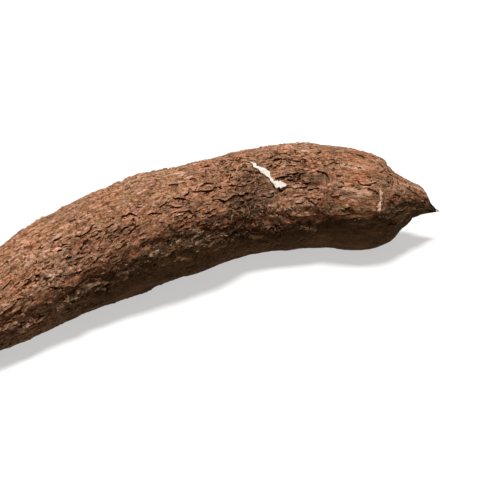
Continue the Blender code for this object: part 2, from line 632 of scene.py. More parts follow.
@dataclass(frozen=True)
class RootSurface:
    """The root's outside: its smooth skin, and the way out of it at each point."""

    axis: RootAxis = field(default_factory=RootAxis)
    relief: BarkRelief = field(default_factory=BarkRelief)
    step: float = 0.0005
    turn: float = 0.01

    def smooth(self, along: Array, angle: Array) -> Array:
        """Points of the smooth skin; those at the two ends draw together on the axis.

        Args:
            along: Metres from the stalk end.
            angle: Radians round the root.

        Returns:
            One row of x, y, z for each point, in metres.
        """
        along = np.clip(along, 0.0, self.axis.length())
        rows = self.axis.at(along)
        forward = self.forward(along)
        side = np.cross(forward, (0.0, 0.0, 1.0))
        side /= np.linalg.norm(side, axis=1)[:, None]
        up = np.cross(side, forward)
        reach = rows[:, 3] * self.axis.swelling(along, angle)
        reach[(along <= 0.0) | (along >= self.axis.length())] = 0.0
        around = np.cos(angle)[:, None] * side + np.sin(angle)[:, None] * up
        return rows[:, :3] + reach[:, None] * around

    def forward(self, along: Array) -> Array:
        """Direction of the axis, towards the tail.

        Args:
            along: Metres from the stalk end.

        Returns:
            One row of unit length for each distance.
        """
        ahead = self.axis.at(np.minimum(along + self.step, self.axis.length()))[:, :3]
        behind = self.axis.at(np.maximum(along - self.step, 0.0))[:, :3]
        return (ahead - behind) / np.linalg.norm(ahead - behind, axis=1)[:, None]

    def outwards(self, along: Array, angle: Array) -> Array:
        """Directions straight out of the smooth skin.

        Args:
            along: Metres from the stalk end.
            angle: Radians round the root.

        Returns:
            One row of unit length for each point.
        """
        inside = np.clip(along, self.step, self.axis.length() - self.step)
        lengthways = self.smooth(inside + self.step, angle) - self.smooth(inside - self.step, angle)
        crossways = self.smooth(inside, angle + self.turn) - self.smooth(inside, angle - self.turn)
        normal = np.cross(crossways, lengthways)
        normal /= np.linalg.norm(normal, axis=1)[:, None]
        outside = self.smooth(inside, angle) - self.axis.at(inside)[:, :3]
        normal *= np.sign(np.sum(normal * outside, axis=1))[:, None]
        forward = self.forward(along)
        normal[along <= 0.0] = -forward[along <= 0.0]
        normal[along >= self.axis.length()] = forward[along >= self.axis.length()]
        return normal

    def raised(self, along: Array, angle: Array, height: Array) -> Array:
        """Points over the smooth skin, kept above the ground.

        Args:
            along: Metres from the stalk end.
            angle: Radians round the root.
            height: Heights over the smooth skin, in mm.

        Returns:
            One row of x, y, z for each point, in metres.
        """
        spots = self.smooth(along, angle) + self.outwards(along, angle) * height[:, None] * MM
        spots[:, 2] = np.maximum(spots[:, 2], 0.0)
        return spots

    def dress(
        self, mesh: Mesh, relief: Relief, along: Array, angle: Array
    ) -> None:
        """Keep a relief's masks and the straightened coordinates on a mesh.

        Args:
            mesh: Mesh with one vertex for each point of the relief.
            relief: Relief to keep.
            along: Mm from the stalk end.
            angle: Radians round the root.
        """
        for name, mask in relief.masks.items():
            store(mesh, name, mask)
        layer = mesh.attributes.new("unrolled", "FLOAT_VECTOR", "POINT")
        layer.data.foreach_set("vector", (self.relief.unrolled(along, angle) * MM).ravel())


def finished(bm: bmesh.types.BMesh, name: str) -> Mesh:
    """Make a named mesh of a bmesh, with its faces turned outwards, and free the bmesh.

    Args:
        bm: Bmesh to finish.
        name: Name of the mesh.

    Returns:
        The mesh.
    """
    bmesh.ops.recalc_face_normals(bm, faces=bm.faces)
    mesh = bpy.data.meshes.new(name)
    bm.to_mesh(mesh)
    bm.free()
    return mesh


def store(mesh: Mesh, name: str, values: Array) -> None:
    """Keep one number for each vertex of a mesh, under a name."""
    layer = mesh.attributes.new(name, "FLOAT", "POINT")
    layer.data.foreach_set("value", values.astype(np.float32))


def coordinates(mesh: Mesh) -> Array:
    """Places of a mesh's vertices.

    Args:
        mesh: Mesh to read.

    Returns:
        One row of x, y, z for each vertex, in metres.
    """
    spots = np.zeros(len(mesh.vertices) * 3)
    mesh.vertices.foreach_get("co", spots)
    return spots.reshape(-1, 3)


def link(name: str, mesh: Mesh) -> Object:
    """Put a mesh in the scene as a piece that rides on the root.

    Args:
        name: Name of the piece.
        mesh: Its mesh.

    Returns:
        The piece.
    """
    piece = bpy.data.objects.new(name, mesh)
    bpy.context.scene.collection.objects.link(piece)
    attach(piece, BODY)
    return piece


def copies(template: Mesh, count: int, name: str) -> Mesh:
    """Many copies of a small mesh in one, each with its own square of the bake map.

    Args:
        template: Mesh to copy, with its map inside the unit square.
        count: Number of copies.
        name: Name of the new mesh.

    Returns:
        The new mesh, whose vertices come copy by copy in the template's order.
    """
    bm = bmesh.new()
    for _ in range(count):
        bm.from_mesh(template)
    mesh = finished(bm, name)
    across = math.ceil(math.sqrt(count))
    layer = mesh.uv_layers[BAKE_MAP].uv
    places = np.zeros(len(layer) * 2)
    layer.foreach_get("vector", places)
    number = np.repeat(np.arange(count), len(template.loops))
    corner = np.column_stack((number % across, number // across))
    layer.foreach_set("vector", ((places.reshape(-1, 2) + corner) / across).ravel())
    return mesh


@dataclass(frozen=True)
class RootBody:
    """The root's whole skin: a grid rolled up round the axis and raised by the bark."""

    surface: RootSurface
    rings: int = 336
    sides: int = 290
    ring_shares: tuple[float, ...] = (0.0, 0.17, 0.76, 1.0)
    ring_places: tuple[float, ...] = (0.0, 42.0, 300.0, 404.9)
    weld: float = 1e-6
    tone: float = 0.5

    def skin(self) -> Mesh:
        """Smooth closed skin, with its place on the root kept at each vertex.

        Returns:
            The skin.
        """
        bm = bmesh.new()
        bm.loops.layers.uv.new(BAKE_MAP)
        bmesh.ops.create_grid(
            bm, x_segments=self.rings, y_segments=self.sides, size=1.0, calc_uvs=True
        )
        flat = np.array([v.co[:2] for v in bm.verts])
        length = self.surface.axis.length()
        places = np.minimum(np.array(self.ring_places) * MM, length)
        along = np.interp((flat[:, 0] + 1.0) / 2.0, self.ring_shares, places)
        angle = flat[:, 1] * math.pi + math.pi / 2.0
        spots = self.surface.smooth(along, angle)
        keep_along = bm.verts.layers.float.new("along")
        keep_angle = bm.verts.layers.float.new("angle")
        for vert, spot, s, a in zip(bm.verts, spots.tolist(), along.tolist(), angle.tolist()):
            vert.co = spot
            vert[keep_along] = s
            vert[keep_angle] = a
        bmesh.ops.remove_doubles(bm, verts=bm.verts, dist=self.weld)
        return finished(bm, "bark_skin")

    def build(self) -> Object:
        """Piece of the whole root, with its bark raised and its masks stored.

        Returns:
            The finished object.
        """
        mesh = self.skin()
        along, angle = np.zeros(len(mesh.vertices)), np.zeros(len(mesh.vertices))
        mesh.attributes["along"].data.foreach_get("value", along)
        mesh.attributes["angle"].data.foreach_get("value", angle)
        relief = self.surface.relief.shape(along / MM, angle)
        relief.masks["tone"] = np.full(len(along), self.tone)
        raised = self.surface.raised(along, angle, relief.height)
        mesh.vertices.foreach_set("co", raised.ravel())
        self.surface.dress(mesh, relief, along / MM, angle)
        mesh.update()
        mesh.shade_smooth()
        return link("bark_skin", mesh)


@dataclass(frozen=True)
class Flake:
    """One lifted flake of bark: its free edge's path, width, lift and shade.

    The path's points are mm along from the stalk end and degrees round the root. The flake
    runs up from its free edge, towards the top of the root, and sinks into the bark there.
    """

    path: tuple[Spot, ...]
    wide: float
    lift: float
    tone: float = 0.5


LEDGE_ROWS = (
    (((204, 123), (198, 126), (196, 129)), 5.0, 1.3), (((197, 125), (192, 121)), 3.5, 1.1, 0.7),
    (((190, 122), (184, 126), (177, 125), (172, 124)), 5.0, 1.5),
    (((187, 120), (179, 117), (174, 122)), 3.5, 1.2, 0.7),
    (((164, 126), (156, 127), (148, 131)), 4.5, 1.3, 0.6),
    (((182, 136), (173, 142), (167, 139), (158, 139)), 6.5, 1.5, 0.35),
    (((160, 138), (152, 140), (143, 138)), 5.5, 1.5, 0.4),
    (((191, 146), (186, 147), (182, 144)), 4.0, 1.1, 0.5),
    (((205, 138), (198, 140), (193, 144)), 4.5, 1.1, 0.5),
    (((201, 105), (195, 108)), 4.0, 1.0, 0.95), (((222, 130), (213, 134)), 4.0, 1.1, 0.5),
    (((118, 107), (111, 106)), 5.0, 1.7, 0.5), (((120, 114), (113, 115)), 3.0, 1.0, 0.5),
    (((120, 128), (113, 129), (106, 126), (98, 125)), 6.5, 1.7, 0.5),
    (((111, 131), (105, 133)), 3.0, 1.1, 0.4), (((93, 122), (86, 124), (78, 129)), 4.5, 1.2, 0.4),
    (((106, 142), (98, 140)), 4.0, 1.2, 0.7), (((99, 144), (90, 142)), 3.5, 1.2, 0.6),
    (((105, 108), (100, 108)), 3.0, 1.0, 0.5), (((110, 116), (104, 116)), 2.5, 0.9, 0.5),
    (((272, 118), (267, 121), (262, 121), (255, 116)), 6.0, 1.6, 0.7),
    (((278, 141), (274, 136), (269, 131), (264, 129)), 4.5, 1.3, 0.5),
    (((240, 124), (233, 122), (228, 128)), 4.5, 1.2, 0.6),
    (((262, 124), (253, 127)), 3.0, 1.0, 0.5), (((283, 134), (278, 137)), 3.0, 1.0, 0.5),
    (((283, 118), (274, 125)), 3.5, 0.8, 0.6), (((268, 153), (262, 147)), 3.0, 1.0, 0.5),
    (((268, 100), (262, 101)), 3.0, 0.9, 1.0), (((281, 110), (276, 111)), 3.0, 0.9, 1.0),
    (((59, 129), (56.5, 134), (53.5, 133), (50.5, 127)), 2.2, 0.8, 0.8),
    (((71, 125), (67, 128)), 3.0, 1.1, 0.6), (((81, 112), (74, 110), (69, 112)), 2.6, 0.8, 0.8),
    (((111, 127), (105, 130)), 3.5, 1.2, 0.4), (((92, 154), (88, 154)), 2.5, 1.2, 0.6),
    (((98, 156), (92, 160)), 3.0, 1.2, 0.5), (((73, 151), (65, 148)), 3.0, 0.9, 0.6),
    (((69, 140), (65, 138)), 2.5, 0.9, 0.7), (((90, 97), (86, 91)), 2.5, 0.9, 0.7),
    (((76, 90), (66, 88)), 2.5, 0.8, 0.8), (((106, 158), (100, 158)), 2.5, 1.0, 0.8),
    (((65, 164), (60, 159)), 3.0, 1.0, 0.7), (((101, 134), (97, 136)), 2.5, 0.9, 0.6),
    (((286, 123), (281, 124)), 3.0, 1.0, 0.8), (((284, 110), (279, 110)), 3.0, 1.0, 1.0),
    (((302, 144), (297, 145)), 3.0, 1.0, 0.6),
    (((303, 154), (295, 161), (287, 167), (276, 166)), 5.0, 1.3, 0.5),
    (((296, 148), (288, 148)), 3.0, 1.0, 0.6), (((248, 146), (243, 145)), 3.0, 1.1, 0.7),
    (((240, 132), (234, 134)), 3.0, 1.1, 0.7), (((282, 144), (277, 146)), 3.0, 1.1, 0.7),
    (((60, 168), (72, 171), (84, 170)), 4.0, 1.2, 0.5),
    (((90, 172), (104, 173), (112, 171)), 4.0, 1.2, 0.5),
)
LEDGES = tuple(Flake(*row) for row in LEDGE_ROWS)
SMEAR = (
    Flake(((133.8, 104), (134.4, 112), (132.9, 116), (129.4, 119), (127.4, 124.5), (124.5, 131),
           (122, 136)), 3.6, 1.1, 0.5),
    Flake(((124.5, 133), (120.8, 139), (116, 140.5), (110.5, 138)), 4.0, 1.2, 0.5),
)
PALE_SCARS = (
    Flake(((48.3, 136), (48.2, 143), (47.9, 151)), 2.4, 0.5, 0.9),
    Flake(((46.9, 149), (47.0, 157), (47.1, 166)), 3.2, 0.45, 0.5),
)


@dataclass(frozen=True)
class FlakeShape:
    """Small closed mesh of a flake, before it is bent to its place.

    Its x runs along the free edge and its y across, from -1 at the sunk edge to 1 at the
    free edge. Its z is 0 on top, -1 at the foot of the free edge and -2 at the skirt.
    """

    columns: int
    rows: int
    top_share: float = 0.78
    wall_share: float = 0.06
    filled: float = 0.98
    bottom_centre: float = 0.9
    bottom_spread: float = 0.08

    def template(self) -> Mesh:
        """Closed mesh with its map inside the unit square.

        Returns:
            The mesh.
        """
        bm = bmesh.new()
        layer = bm.loops.layers.uv.new(BAKE_MAP)
        bmesh.ops.create_grid(
            bm, x_segments=self.columns, y_segments=self.rows, size=1.0, calc_uvs=True
        )
        rim = [edge for edge in bm.edges if edge.is_boundary]
        for _ in ("foot", "skirt"):
            made = bmesh.ops.extrude_edge_only(bm, edges=rim)["geom"]
            low = [item for item in made if isinstance(item, bmesh.types.BMVert)]
            bmesh.ops.translate(bm, verts=low, vec=(0.0, 0.0, -1.0))
            rim = [e for e in made if isinstance(e, bmesh.types.BMEdge) and e.is_boundary]
        bottom = bmesh.ops.edgeloop_fill(bm, edges=rim)["faces"]
        self.lay_out(bm, layer, set(bottom))
        return finished(bm, "flake")

    def lay_out(
        self, bm: bmesh.types.BMesh, layer: bmesh.types.BMLayerItem, bottom: set[bmesh.types.BMFace]
    ) -> None:
        """Spread the map: the walls round the top, and the hidden bottom in a corner.

        Args:
            bm: Mesh to lay out.
            layer: Its map.
            bottom: Faces of its bottom.
        """
        for face in bm.faces:
            for loop in face.loops:
                x, y, z = loop.vert.co
                centre = self.top_share / 2.0
                spread = self.filled * (centre - self.wall_share * (2.0 + z))
                if face in bottom:
                    centre, spread = self.bottom_centre, self.bottom_spread
                loop[layer].uv = (centre + x * spread, centre + y * spread)


@dataclass(frozen=True)
class BarkFlakes:
    """Thin lifted flakes that stand proud of the bark along their free edges.

    Heights and widths are in mm. The shape's z tells the top, the foot and the skirt apart.
    """

    surface: RootSurface
    shape: FlakeShape
    name: str
    sunk: float = -0.35
    buried: float = -0.9
    foot_out: float = 0.10
    skirt_out: float = 0.85
    skirt_sunk: float = -0.12
    skirt_drop: float = 0.3
    top_over: float = -0.5
    foot_over: float = -1.5
    ragged: float = 0.60
    ragged_width: float = 0.35
    narrowed: float = 0.85
    lowered: float = 0.8
    foot_share: float = 0.35
    end_share: float = 0.9
    free_share: float = 0.9
    slope_reach: float = 0.2
    wobble_scale: Axes = (3.3, 1.7, 3.71)
    wobble_apart: float = 31.7
    wobble_height: float = 1.6
    # Painted shade laid on the walls of the flakes.
    darkness: float = 0.85
    old_cracks: float = 0.2
    rim_span: Span = (0.3, 1.0)
    rim_strength: float = 0.9
    crease_degrees: float = 38.0
    start: float = 0.0
    scar: Scar | None = None

    def build(self, flakes: Sequence[Flake]) -> Object:
        """One piece of all the given flakes.

        Args:
            flakes: Flakes to make.

        Returns:
            The finished object.
        """
        template = self.shape.template()
        local = coordinates(template)
        mesh = copies(template, len(flakes), self.name)
        number = np.repeat(np.arange(len(flakes)), len(local))
        x, y, z = np.tile(local, (len(flakes), 1)).T
        on_top = z > self.top_over
        along, angle, height, dark = self.bend(flakes, number, x, y, z)
        relief = self.surface.relief.shape(along, angle)
        kept_cracks = self.old_cracks * relief.masks["crack"]
        # Painted shade: the walls and skirt below each flake's top are darkened, most under its free
        # edge.
        relief.masks["crack"] = np.where(on_top, kept_cracks, dark)
        # Painted highlight: the top along each flake's free edge is laid lighter.
        relief.masks["rim"] = smoothstep(*self.rim_span, y) * on_top * self.rim_strength
        relief.masks["tone"] = np.array([flake.tone for flake in flakes])[number]
        for kind in (Scar.FLESH, Scar.PALE):
            relief.masks[kind.value] *= on_top
        if self.scar:
            relief.masks[self.scar.value] = 1.0 * (z > self.foot_over)
        raised = self.surface.raised(along * MM, angle, relief.height + height)
        mesh.vertices.foreach_set("co", raised.ravel())
        self.surface.dress(mesh, relief, along, angle)
        mesh.update()
        mesh.shade_smooth()
        mesh.set_sharp_from_angle(angle=math.radians(self.crease_degrees))
        return link(self.name, mesh)

    def bend(
        self, flakes: Sequence[Flake], number: Array, x: Array, y: Array, z: Array
    ) -> tuple[Array, Array, Array, Array]:
        """Lay copies of the flat shape along the flakes' paths.

        Args:
            flakes: Flakes to make.
            number: Number of the flake that each vertex belongs to.
            x: Place along the free edge, from -1 to 1.
            y: Place across, from -1 at the sunk edge to 1 at the free edge.
            z: 0 on top, -1 at the foot, -2 at the skirt.

        Returns:
            Distances along in mm, angles in radians, heights over the bark in mm, and how
            dark each vertex is.
        """
        spots = [self.spread(flake.path, x[number == k]) for k, flake in enumerate(flakes)]
        along, round_, out_along, out_round = np.vstack(spots).T
        wide = np.array([flake.wide for flake in flakes])[number]
        lift = np.array([flake.lift for flake in flakes])[number]
        lengthways, crossways = self.wobble(number, x, y)
        on_top, on_foot = z > self.top_over, z > self.foot_over
        taper = 1.0 - self.narrowed * np.abs(x) ** 3
        free = (y + 1.0) / 2.0
        at_edge = free > self.free_share
        out = np.where(on_top, 0.0, np.where(on_foot, self.foot_out, self.skirt_out))
        across = (free - 1.0) * wide * taper * (1.0 + self.ragged_width * crossways)
        across += self.ragged * crossways * free + out * free
        stretch = np.sign(x) * (np.abs(x) > self.end_share) * out * (free - 0.5)
        along = along + self.ragged * lengthways + stretch + across * out_along
        length = self.surface.axis.length()
        true_radius = self.surface.axis.at(np.clip(along * MM, 0.0, length))[:, 3]
        angle = round_ / self.surface.relief.girth_radius + across * out_round * MM / true_radius
        top = self.sunk + (lift - self.sunk) * free * (1.0 - self.lowered * np.abs(x) ** 4)
        foot = np.where(at_edge, np.minimum(self.foot_share * top, top), self.buried)
        skirt = np.where(at_edge, self.skirt_sunk, self.buried - self.skirt_drop)
        height = np.where(on_top, top, np.where(on_foot, foot, skirt))
        # Painted shade for the walls: full under the free edge, half elsewhere.
        return along, angle, height, self.darkness * np.where(at_edge, 1.0, 0.5)

    def spread(self, path: tuple[Spot, ...], x: Array) -> Array:
        """Places on a path, and the way out of the flake there, for shares from -1 to 1.

        Args:
            path: Points in mm along and degrees round.
            x: Shares of the path's length, from -1 at its start to 1 at its end.

        Returns:
            One row for each share: mm along, mm round, and the unit step out of the
            flake along and round, on the side away from the top of the root.
        """
        points = np.array(path, dtype=float)
        points[:, 1] = np.radians(points[:, 1]) * self.surface.relief.girth_radius
        marks = np.concatenate(([0.0], np.cumsum(np.hypot(*np.diff(points, axis=0).T))))
        place = (x + 1.0) / 2.0 * marks[-1]
        reach = self.slope_reach * marks[-1]
        runs = [
            [np.interp(at, marks, points[:, k]) for k in (0, 1)]
            for at in (place, place - reach, place + reach)
        ]
        spot, before, after = (np.column_stack(run) for run in runs)
        step = after - before
        step /= np.linalg.norm(step, axis=1)[:, None]
        down = 1.0 if math.cos(points[0, 1] / self.surface.relief.girth_radius) < 0.0 else -1.0
        side = np.where(step[:, 0] * down < 0.0, -1.0, 1.0)
        return np.column_stack((spot, -step[:, 1] * side, step[:, 0] * side))

    def wobble(self, number: Array, x: Array, y: Array) -> Array:
        """Two ragged shifts for each vertex, the same for those above one another.

        Args:
            number: Number of the flake that each vertex belongs to.
            x: Place along the free edge, from -1 to 1.
            y: Place across, from -1 to 1.

        Returns:
            One row of shifts along the root and one of shifts across the flake.
        """
        spots = np.column_stack((x, y, number)) * self.wobble_scale
        spots[:, 2] += self.start
        shifts = [[noise.noise(s) for s in spots + apart] for apart in (0.0, self.wobble_apart)]
        return self.wobble_height * np.array(shifts)


@dataclass(frozen=True)
class FlakeScatter:
    """Chooses places and sizes for the many small flakes.

    Sizes are in mm. A height from -1 to 1 is that of a place on the root's round section.
    """

    relief: BarkRelief
    count: int
    seed: int
    along_range: Span = (24.0, 396.0)
    degree_range: Span = (-60.0, 240.0)
    clear: float = 3.5
    log_length: Span = (1.25, 0.50)
    long_range: Span = (1.8, 11.0)
    short_share: float = 0.6
    short_height: float = 0.40
    short_before: float = 95.0
    wide_range: Span = (0.9, 3.6)
    wide_shares: Span = (0.28, 0.60)
    lean: Span = (6.0, 14.0)
    bow: float = 0.09
    middle_shift: float = 0.15
    lift_base: float = 0.30
    lift_slope: float = 0.18
    lift_shares: Span = (0.6, 1.4)
    most_lift: float = 1.0
    low_lift: float = 0.3
    low_height: float = -0.25
    calm_stretch: Span = (50.0, 92.0)
    calm_share: float = 0.25
    neck_share: float = 0.6
    under_height: float = -0.15
    under_share: float = 0.30
    even_loss: float = 0.92

    def choose(self) -> list[Flake]:
        """Places the flakes at random, always the same, away from the bared flesh.

        Returns:
            The flakes.
        """
        dice = random.Random(self.seed)
        found: list[Flake] = []
        while len(found) < self.count:
            along = dice.uniform(*self.along_range)
            degrees = dice.uniform(*self.degree_range)
            flake = self.one(dice, along, degrees)
            if dice.random() < self.density(along, degrees) and self.is_clear(along, degrees):
                found.append(flake)
        return found

    def one(self, dice: random.Random, along: float, degrees: float) -> Flake:
        """A flake of random size round a place.

        Args:
            dice: Source of the random numbers.
            along: Mm from the stalk end.
            degrees: Degrees round the root.

        Returns:
            The flake.
        """
        height = math.sin(math.radians(degrees))
        least, most = self.long_range
        long = min(most, max(least, dice.lognormvariate(*self.log_length)))
        if height < self.short_height or along < self.short_before:
            long *= self.short_share
        least, most = self.wide_range
        wide = min(most, max(least, long * dice.uniform(*self.wide_shares)))
        front = 1.0 if math.cos(math.radians(degrees)) < 0.0 else -1.0
        lean, lean_spread = self.lean
        turn = math.radians(front * (lean + dice.gauss(0.0, lean_spread)))
        half_round = math.degrees(long * math.sin(turn) / self.relief.girth_radius) / 2.0
        run = long * math.cos(turn)
        bow = dice.gauss(0.0, self.bow) * math.degrees(long / self.relief.girth_radius)
        shift = dice.uniform(-self.middle_shift, self.middle_shift) * run
        path = (
            (along - run / 2.0, degrees - half_round),
            (along + shift, degrees + bow),
            (along + run / 2.0, degrees + half_round),
        )
        lift = self.lift_base + self.lift_slope * wide * dice.uniform(*self.lift_shares)
        limit = self.low_lift if height < self.low_height else self.most_lift
        return Flake(path, wide, min(limit, lift), dice.random())

    def density(self, along: float, degrees: float) -> float:
        """Share of the flakes kept at a place.

        Args:
            along: Mm from the stalk end.
            degrees: Degrees round the root.

        Returns:
            The share, from 0 to 1.
        """
        neck_end, calm_end = self.calm_stretch
        calm = self.calm_share if neck_end < along < calm_end else 1.0
        neck = self.neck_share if along < neck_end else 1.0
        turn = math.radians(degrees)
        low = self.under_share if math.sin(turn) < self.under_height else 1.0
        where, angle = np.array([along]), np.array([turn])
        even = self.relief.even(self.relief.unrolled(where, angle), where, angle)[0]
        return calm * neck * low * (1.0 - self.even_loss * even)

    def is_clear(self, along: float, degrees: float) -> bool:
        """Whether a place is far enough from the pale scars and the bared flesh.

        Args:
            along: Mm from the stalk end.
            degrees: Degrees round the root.

        Returns:
            True where a flake may go.
        """
        where = np.array([along]), np.array([math.radians(degrees) * self.relief.girth_radius])
        scars = [mark for mark in MARKS if mark.kind in (Scar.FLESH, Scar.PALE)]
        gaps = [mark.distance(*where, self.relief.girth())[0] - mark.width for mark in scars]
        return min(gaps) > self.clear


@dataclass(frozen=True)
class SoilCrumbs:
    """Dry crumbs of soil caught on the bark, most of them along the edge of the underside."""

    surface: RootSurface
    count: int = 1100
    seed: int = 12
    heaps: int = 70
    heap_range: Span = (30.0, 385.0)
    heap_spread: float = 5.0
    along_range: Span = (24.0, 396.0)
    edge_share: float = 0.80
    edge_degrees: float = 170.0
    spread_degrees: float = 6.0
    front_share: float = 0.5
    degree_range: Span = (-30.0, 210.0)
    smallest: float = 0.28
    largest: float = 0.68
    proud: float = 0.35
    uneven: Span = (0.6, 1.3)
    flattened: Axes = (2.0, 0.7, 0.9)
    lumpy: Span = (0.75, 1.2)

    def places(self, dice: np.random.Generator) -> tuple[Array, Array]:
        """Places of the crumbs: distances along in mm, and angles in radians.

        Args:
            dice: Source of the random numbers.

        Returns:
            The distances and the angles.
        """
        heaps = dice.uniform(*self.heap_range, self.heaps)
        along = heaps[dice.integers(0, self.heaps, self.count)]
        along = along + dice.normal(0.0, self.heap_spread, self.count)
        low_edge = self.edge_degrees + dice.normal(0.0, self.spread_degrees, self.count)
        behind = FULL_TURN / 2.0 - low_edge
        low_edge = np.where(dice.random(self.count) < self.front_share, low_edge, behind)
        anywhere = dice.uniform(*self.degree_range, self.count)
        degrees = np.where(dice.random(self.count) < self.edge_share, low_edge, anywhere)
        return np.clip(along, *self.along_range), np.radians(degrees)

    def template(self) -> Mesh:
        """Round crumb of radius 1 with its map.

        Returns:
            The mesh.
        """
        bm = bmesh.new()
        bm.loops.layers.uv.new(BAKE_MAP)
        bmesh.ops.create_icosphere(bm, subdivisions=1, radius=1.0, calc_uvs=True)
        return finished(bm, "crumb")

    def build(self) -> Object:
        """One piece of all the crumbs.

        Returns:
            The finished object.
        """
        template = self.template()
        dice = np.random.default_rng(self.seed)
        along, angle = self.places(dice)
        size = self.smallest + (self.largest - self.smallest) * dice.random(self.count) ** 3
        height = self.surface.relief.shape(along, angle).height + self.proud * size
        centres = self.surface.raised(along * MM, angle, height)
        local = coordinates(template)
        stretch = dice.uniform(*self.uneven, (self.count, 1, 3)) * size[:, None, None] * MM
        stretch *= self.flattened
        lumpy = dice.uniform(*self.lumpy, (self.count, len(local), 1))
        spots = centres[:, None, :] + local[None] * stretch * lumpy
        spots[:, :, 2] = np.maximum(spots[:, :, 2], 0.0)
        mesh = copies(template, self.count, "soil_crumbs")
        mesh.vertices.foreach_set("co", spots.ravel())
        mesh.update()
        return link("soil_crumbs", mesh)


@dataclass(frozen=True)
class Tuft:
    """A loose group of rootlets: its centre and spread along the root and round it."""

    along: float
    degrees: float
    along_spread: float
    degree_spread: float
    count: int


TUFTS = (
    Tuft(140.0, 152.0, 14.0, 9.0, 16),
    Tuft(250.0, 160.0, 45.0, 5.0, 14),
    Tuft(200.0, 20.0, 90.0, 9.0, 16),
    Tuft(210.0, 75.0, 110.0, 25.0, 8),
)


@dataclass(frozen=True)
class Threads(ABC):
    """Fine tapered threads on the bark, each following a route.

    A route has a row of mm along, radians round and mm of lift for each of its points.
    """

    surface: RootSurface
    name: str
    radius: float
    points: int = 9
    end_gap: float = 0.6
    gather: float = 0.25
    thinned: float = 0.75

    @abstractmethod
    def routes(self) -> list[Array]:
        """Routes of all the threads, which each kind of thread makes in its own way."""

    def build(self) -> Object:
        """One piece of all the threads.

        Returns:
            The finished object.
        """
        curve = bpy.data.curves.new(self.name, "CURVE")
        curve.dimensions = "3D"
        curve.bevel_depth = self.radius * MM
        curve.bevel_resolution = 1
        curve.use_fill_caps = True
        for route in self.routes():
            self.draw(curve, route)
        former = bpy.data.objects.new(self.name, curve)
        mesh = bpy.data.meshes.new_from_object(former)
        bpy.data.objects.remove(former)
        bpy.data.curves.remove(curve)
        mesh.name = self.name
        mesh.shade_smooth()
        return link(self.name, mesh)

    def draw(self, curve: Curve, route: Array) -> None:
        """Add a thread to a curve.

        Args:
            curve: Curve to add to.
            route: The thread's route.
        """
        along, angle, lift = route.T
        inside = np.clip(along, self.end_gap, self.surface.axis.length() / MM - self.end_gap)
        height = self.surface.relief.shape(inside, angle).height + lift
        height -= self.gather * np.abs(along - inside)
        spots = self.surface.raised(inside * MM, angle, height)
        spots += self.surface.forward(inside * MM) * (along - inside)[:, None] * MM
        spline = curve.splines.new("POLY")
        spline.points.add(len(spots) - 1)
        for k, (point, spot) in enumerate(zip(spline.points, spots.tolist())):
            point.co = (*spot, 1.0)
            point.radius = 1.0 - self.thinned * k / (len(spots) - 1)


@dataclass(frozen=True)
class Rootlets(Threads):
    """Hair rootlets that lie on the bark in tufts."""

    seed: int = 0
    along_range: Span = (30.0, 375.0)
    long_range: Span = (5.0, 13.0)
    heading: Span = (0.35, 0.5)
    bend: float = 0.9
    shake: float = 0.12
    low: float = 0.05
    arch: float = 0.55
    arch_shares: Span = (0.3, 1.0)

    def routes(self) -> list[Array]:
        """Routes of the rootlets, most of them near the stain and along the low edge."""
        dice = random.Random(self.seed)
        return [self.route(dice, tuft) for tuft in TUFTS for _ in range(tuft.count)]

    def route(self, dice: random.Random, tuft: Tuft) -> Array:
        """Route of one rootlet, which wanders over the bark.

        Args:
            dice: Source of the random numbers.
            tuft: Tuft that the rootlet belongs to.

        Returns:
            The route.
        """
        radius = self.surface.relief.girth_radius
        first, last = self.along_range
        along = min(last, max(first, dice.gauss(tuft.along, tuft.along_spread)))
        round_ = math.radians(dice.gauss(tuft.degrees, tuft.degree_spread)) * radius
        step = dice.uniform(*self.long_range) / self.points
        heading = dice.gauss(*self.heading)
        bend = dice.gauss(0.0, self.bend)
        rows = []
        for k in range(self.points):
            share = k / (self.points - 1)
            arch = self.arch * math.sin(math.pi * share) * dice.uniform(*self.arch_shares)
            rows.append((along, round_ / radius, self.low + arch))
            turn = heading + bend * (share - 0.5) + dice.gauss(0.0, self.shake)
            along += step * math.cos(turn)
            round_ += step * math.sin(turn)
        return np.array(rows)


@dataclass(frozen=True)
class TornFibres(Threads):
    """Fibres that run off an end of the root, from start to end in mm along it."""

    seed: int = 0
    count: int = 1
    start: float = 0.0
    end: float = 0.0
    flare: float = 0.0
    side_shift: float = 0.4
    start_shift: float = 0.3
    shortened: float = 0.45
    twist: float = 0.35
    flare_shares: Span = (0.1, 1.0)
    rooted: float = -0.2
    rise: float = 0.35

    def routes(self) -> list[Array]:
        """Routes of the fibres, evenly round the root but for a shift."""
        dice = random.Random(self.seed)
        return [self.route(dice, number) for number in range(self.count)]

    def route(self, dice: random.Random, number: int) -> Array:
        """Route of one fibre.

        Args:
            dice: Source of the random numbers.
            number: Number of the fibre.

        Returns:
            The route.
        """
        run = self.end - self.start
        angle = math.tau * (number + dice.uniform(-self.side_shift, self.side_shift)) / self.count
        first = self.start + dice.uniform(-self.start_shift, self.start_shift) * run
        last = self.end + dice.uniform(-self.shortened, 0.0) * run
        twist = dice.gauss(0.0, self.twist)
        flare = self.flare * dice.uniform(*self.flare_shares) ** 2
        shares = np.linspace(0.0, 1.0, self.points)
        lift = self.rooted + self.rise * shares + flare * shares**3
        return np.column_stack((first + (last - first) * shares, angle + twist * shares**2, lift))


@dataclass(frozen=True)
class Pattern:
    """Noise of a finish: features per metre on each axis, finer layers, their strength."""

    stretch: Axes
    detail: float
    rough: float = 0.6


@dataclass(frozen=True)
class Shake:
    """Noise that shifts coordinates: its features per unit, its reach and finer layers."""

    fineness: float
    reach: float
    detail: float = 3.0
    rough: float = 0.65


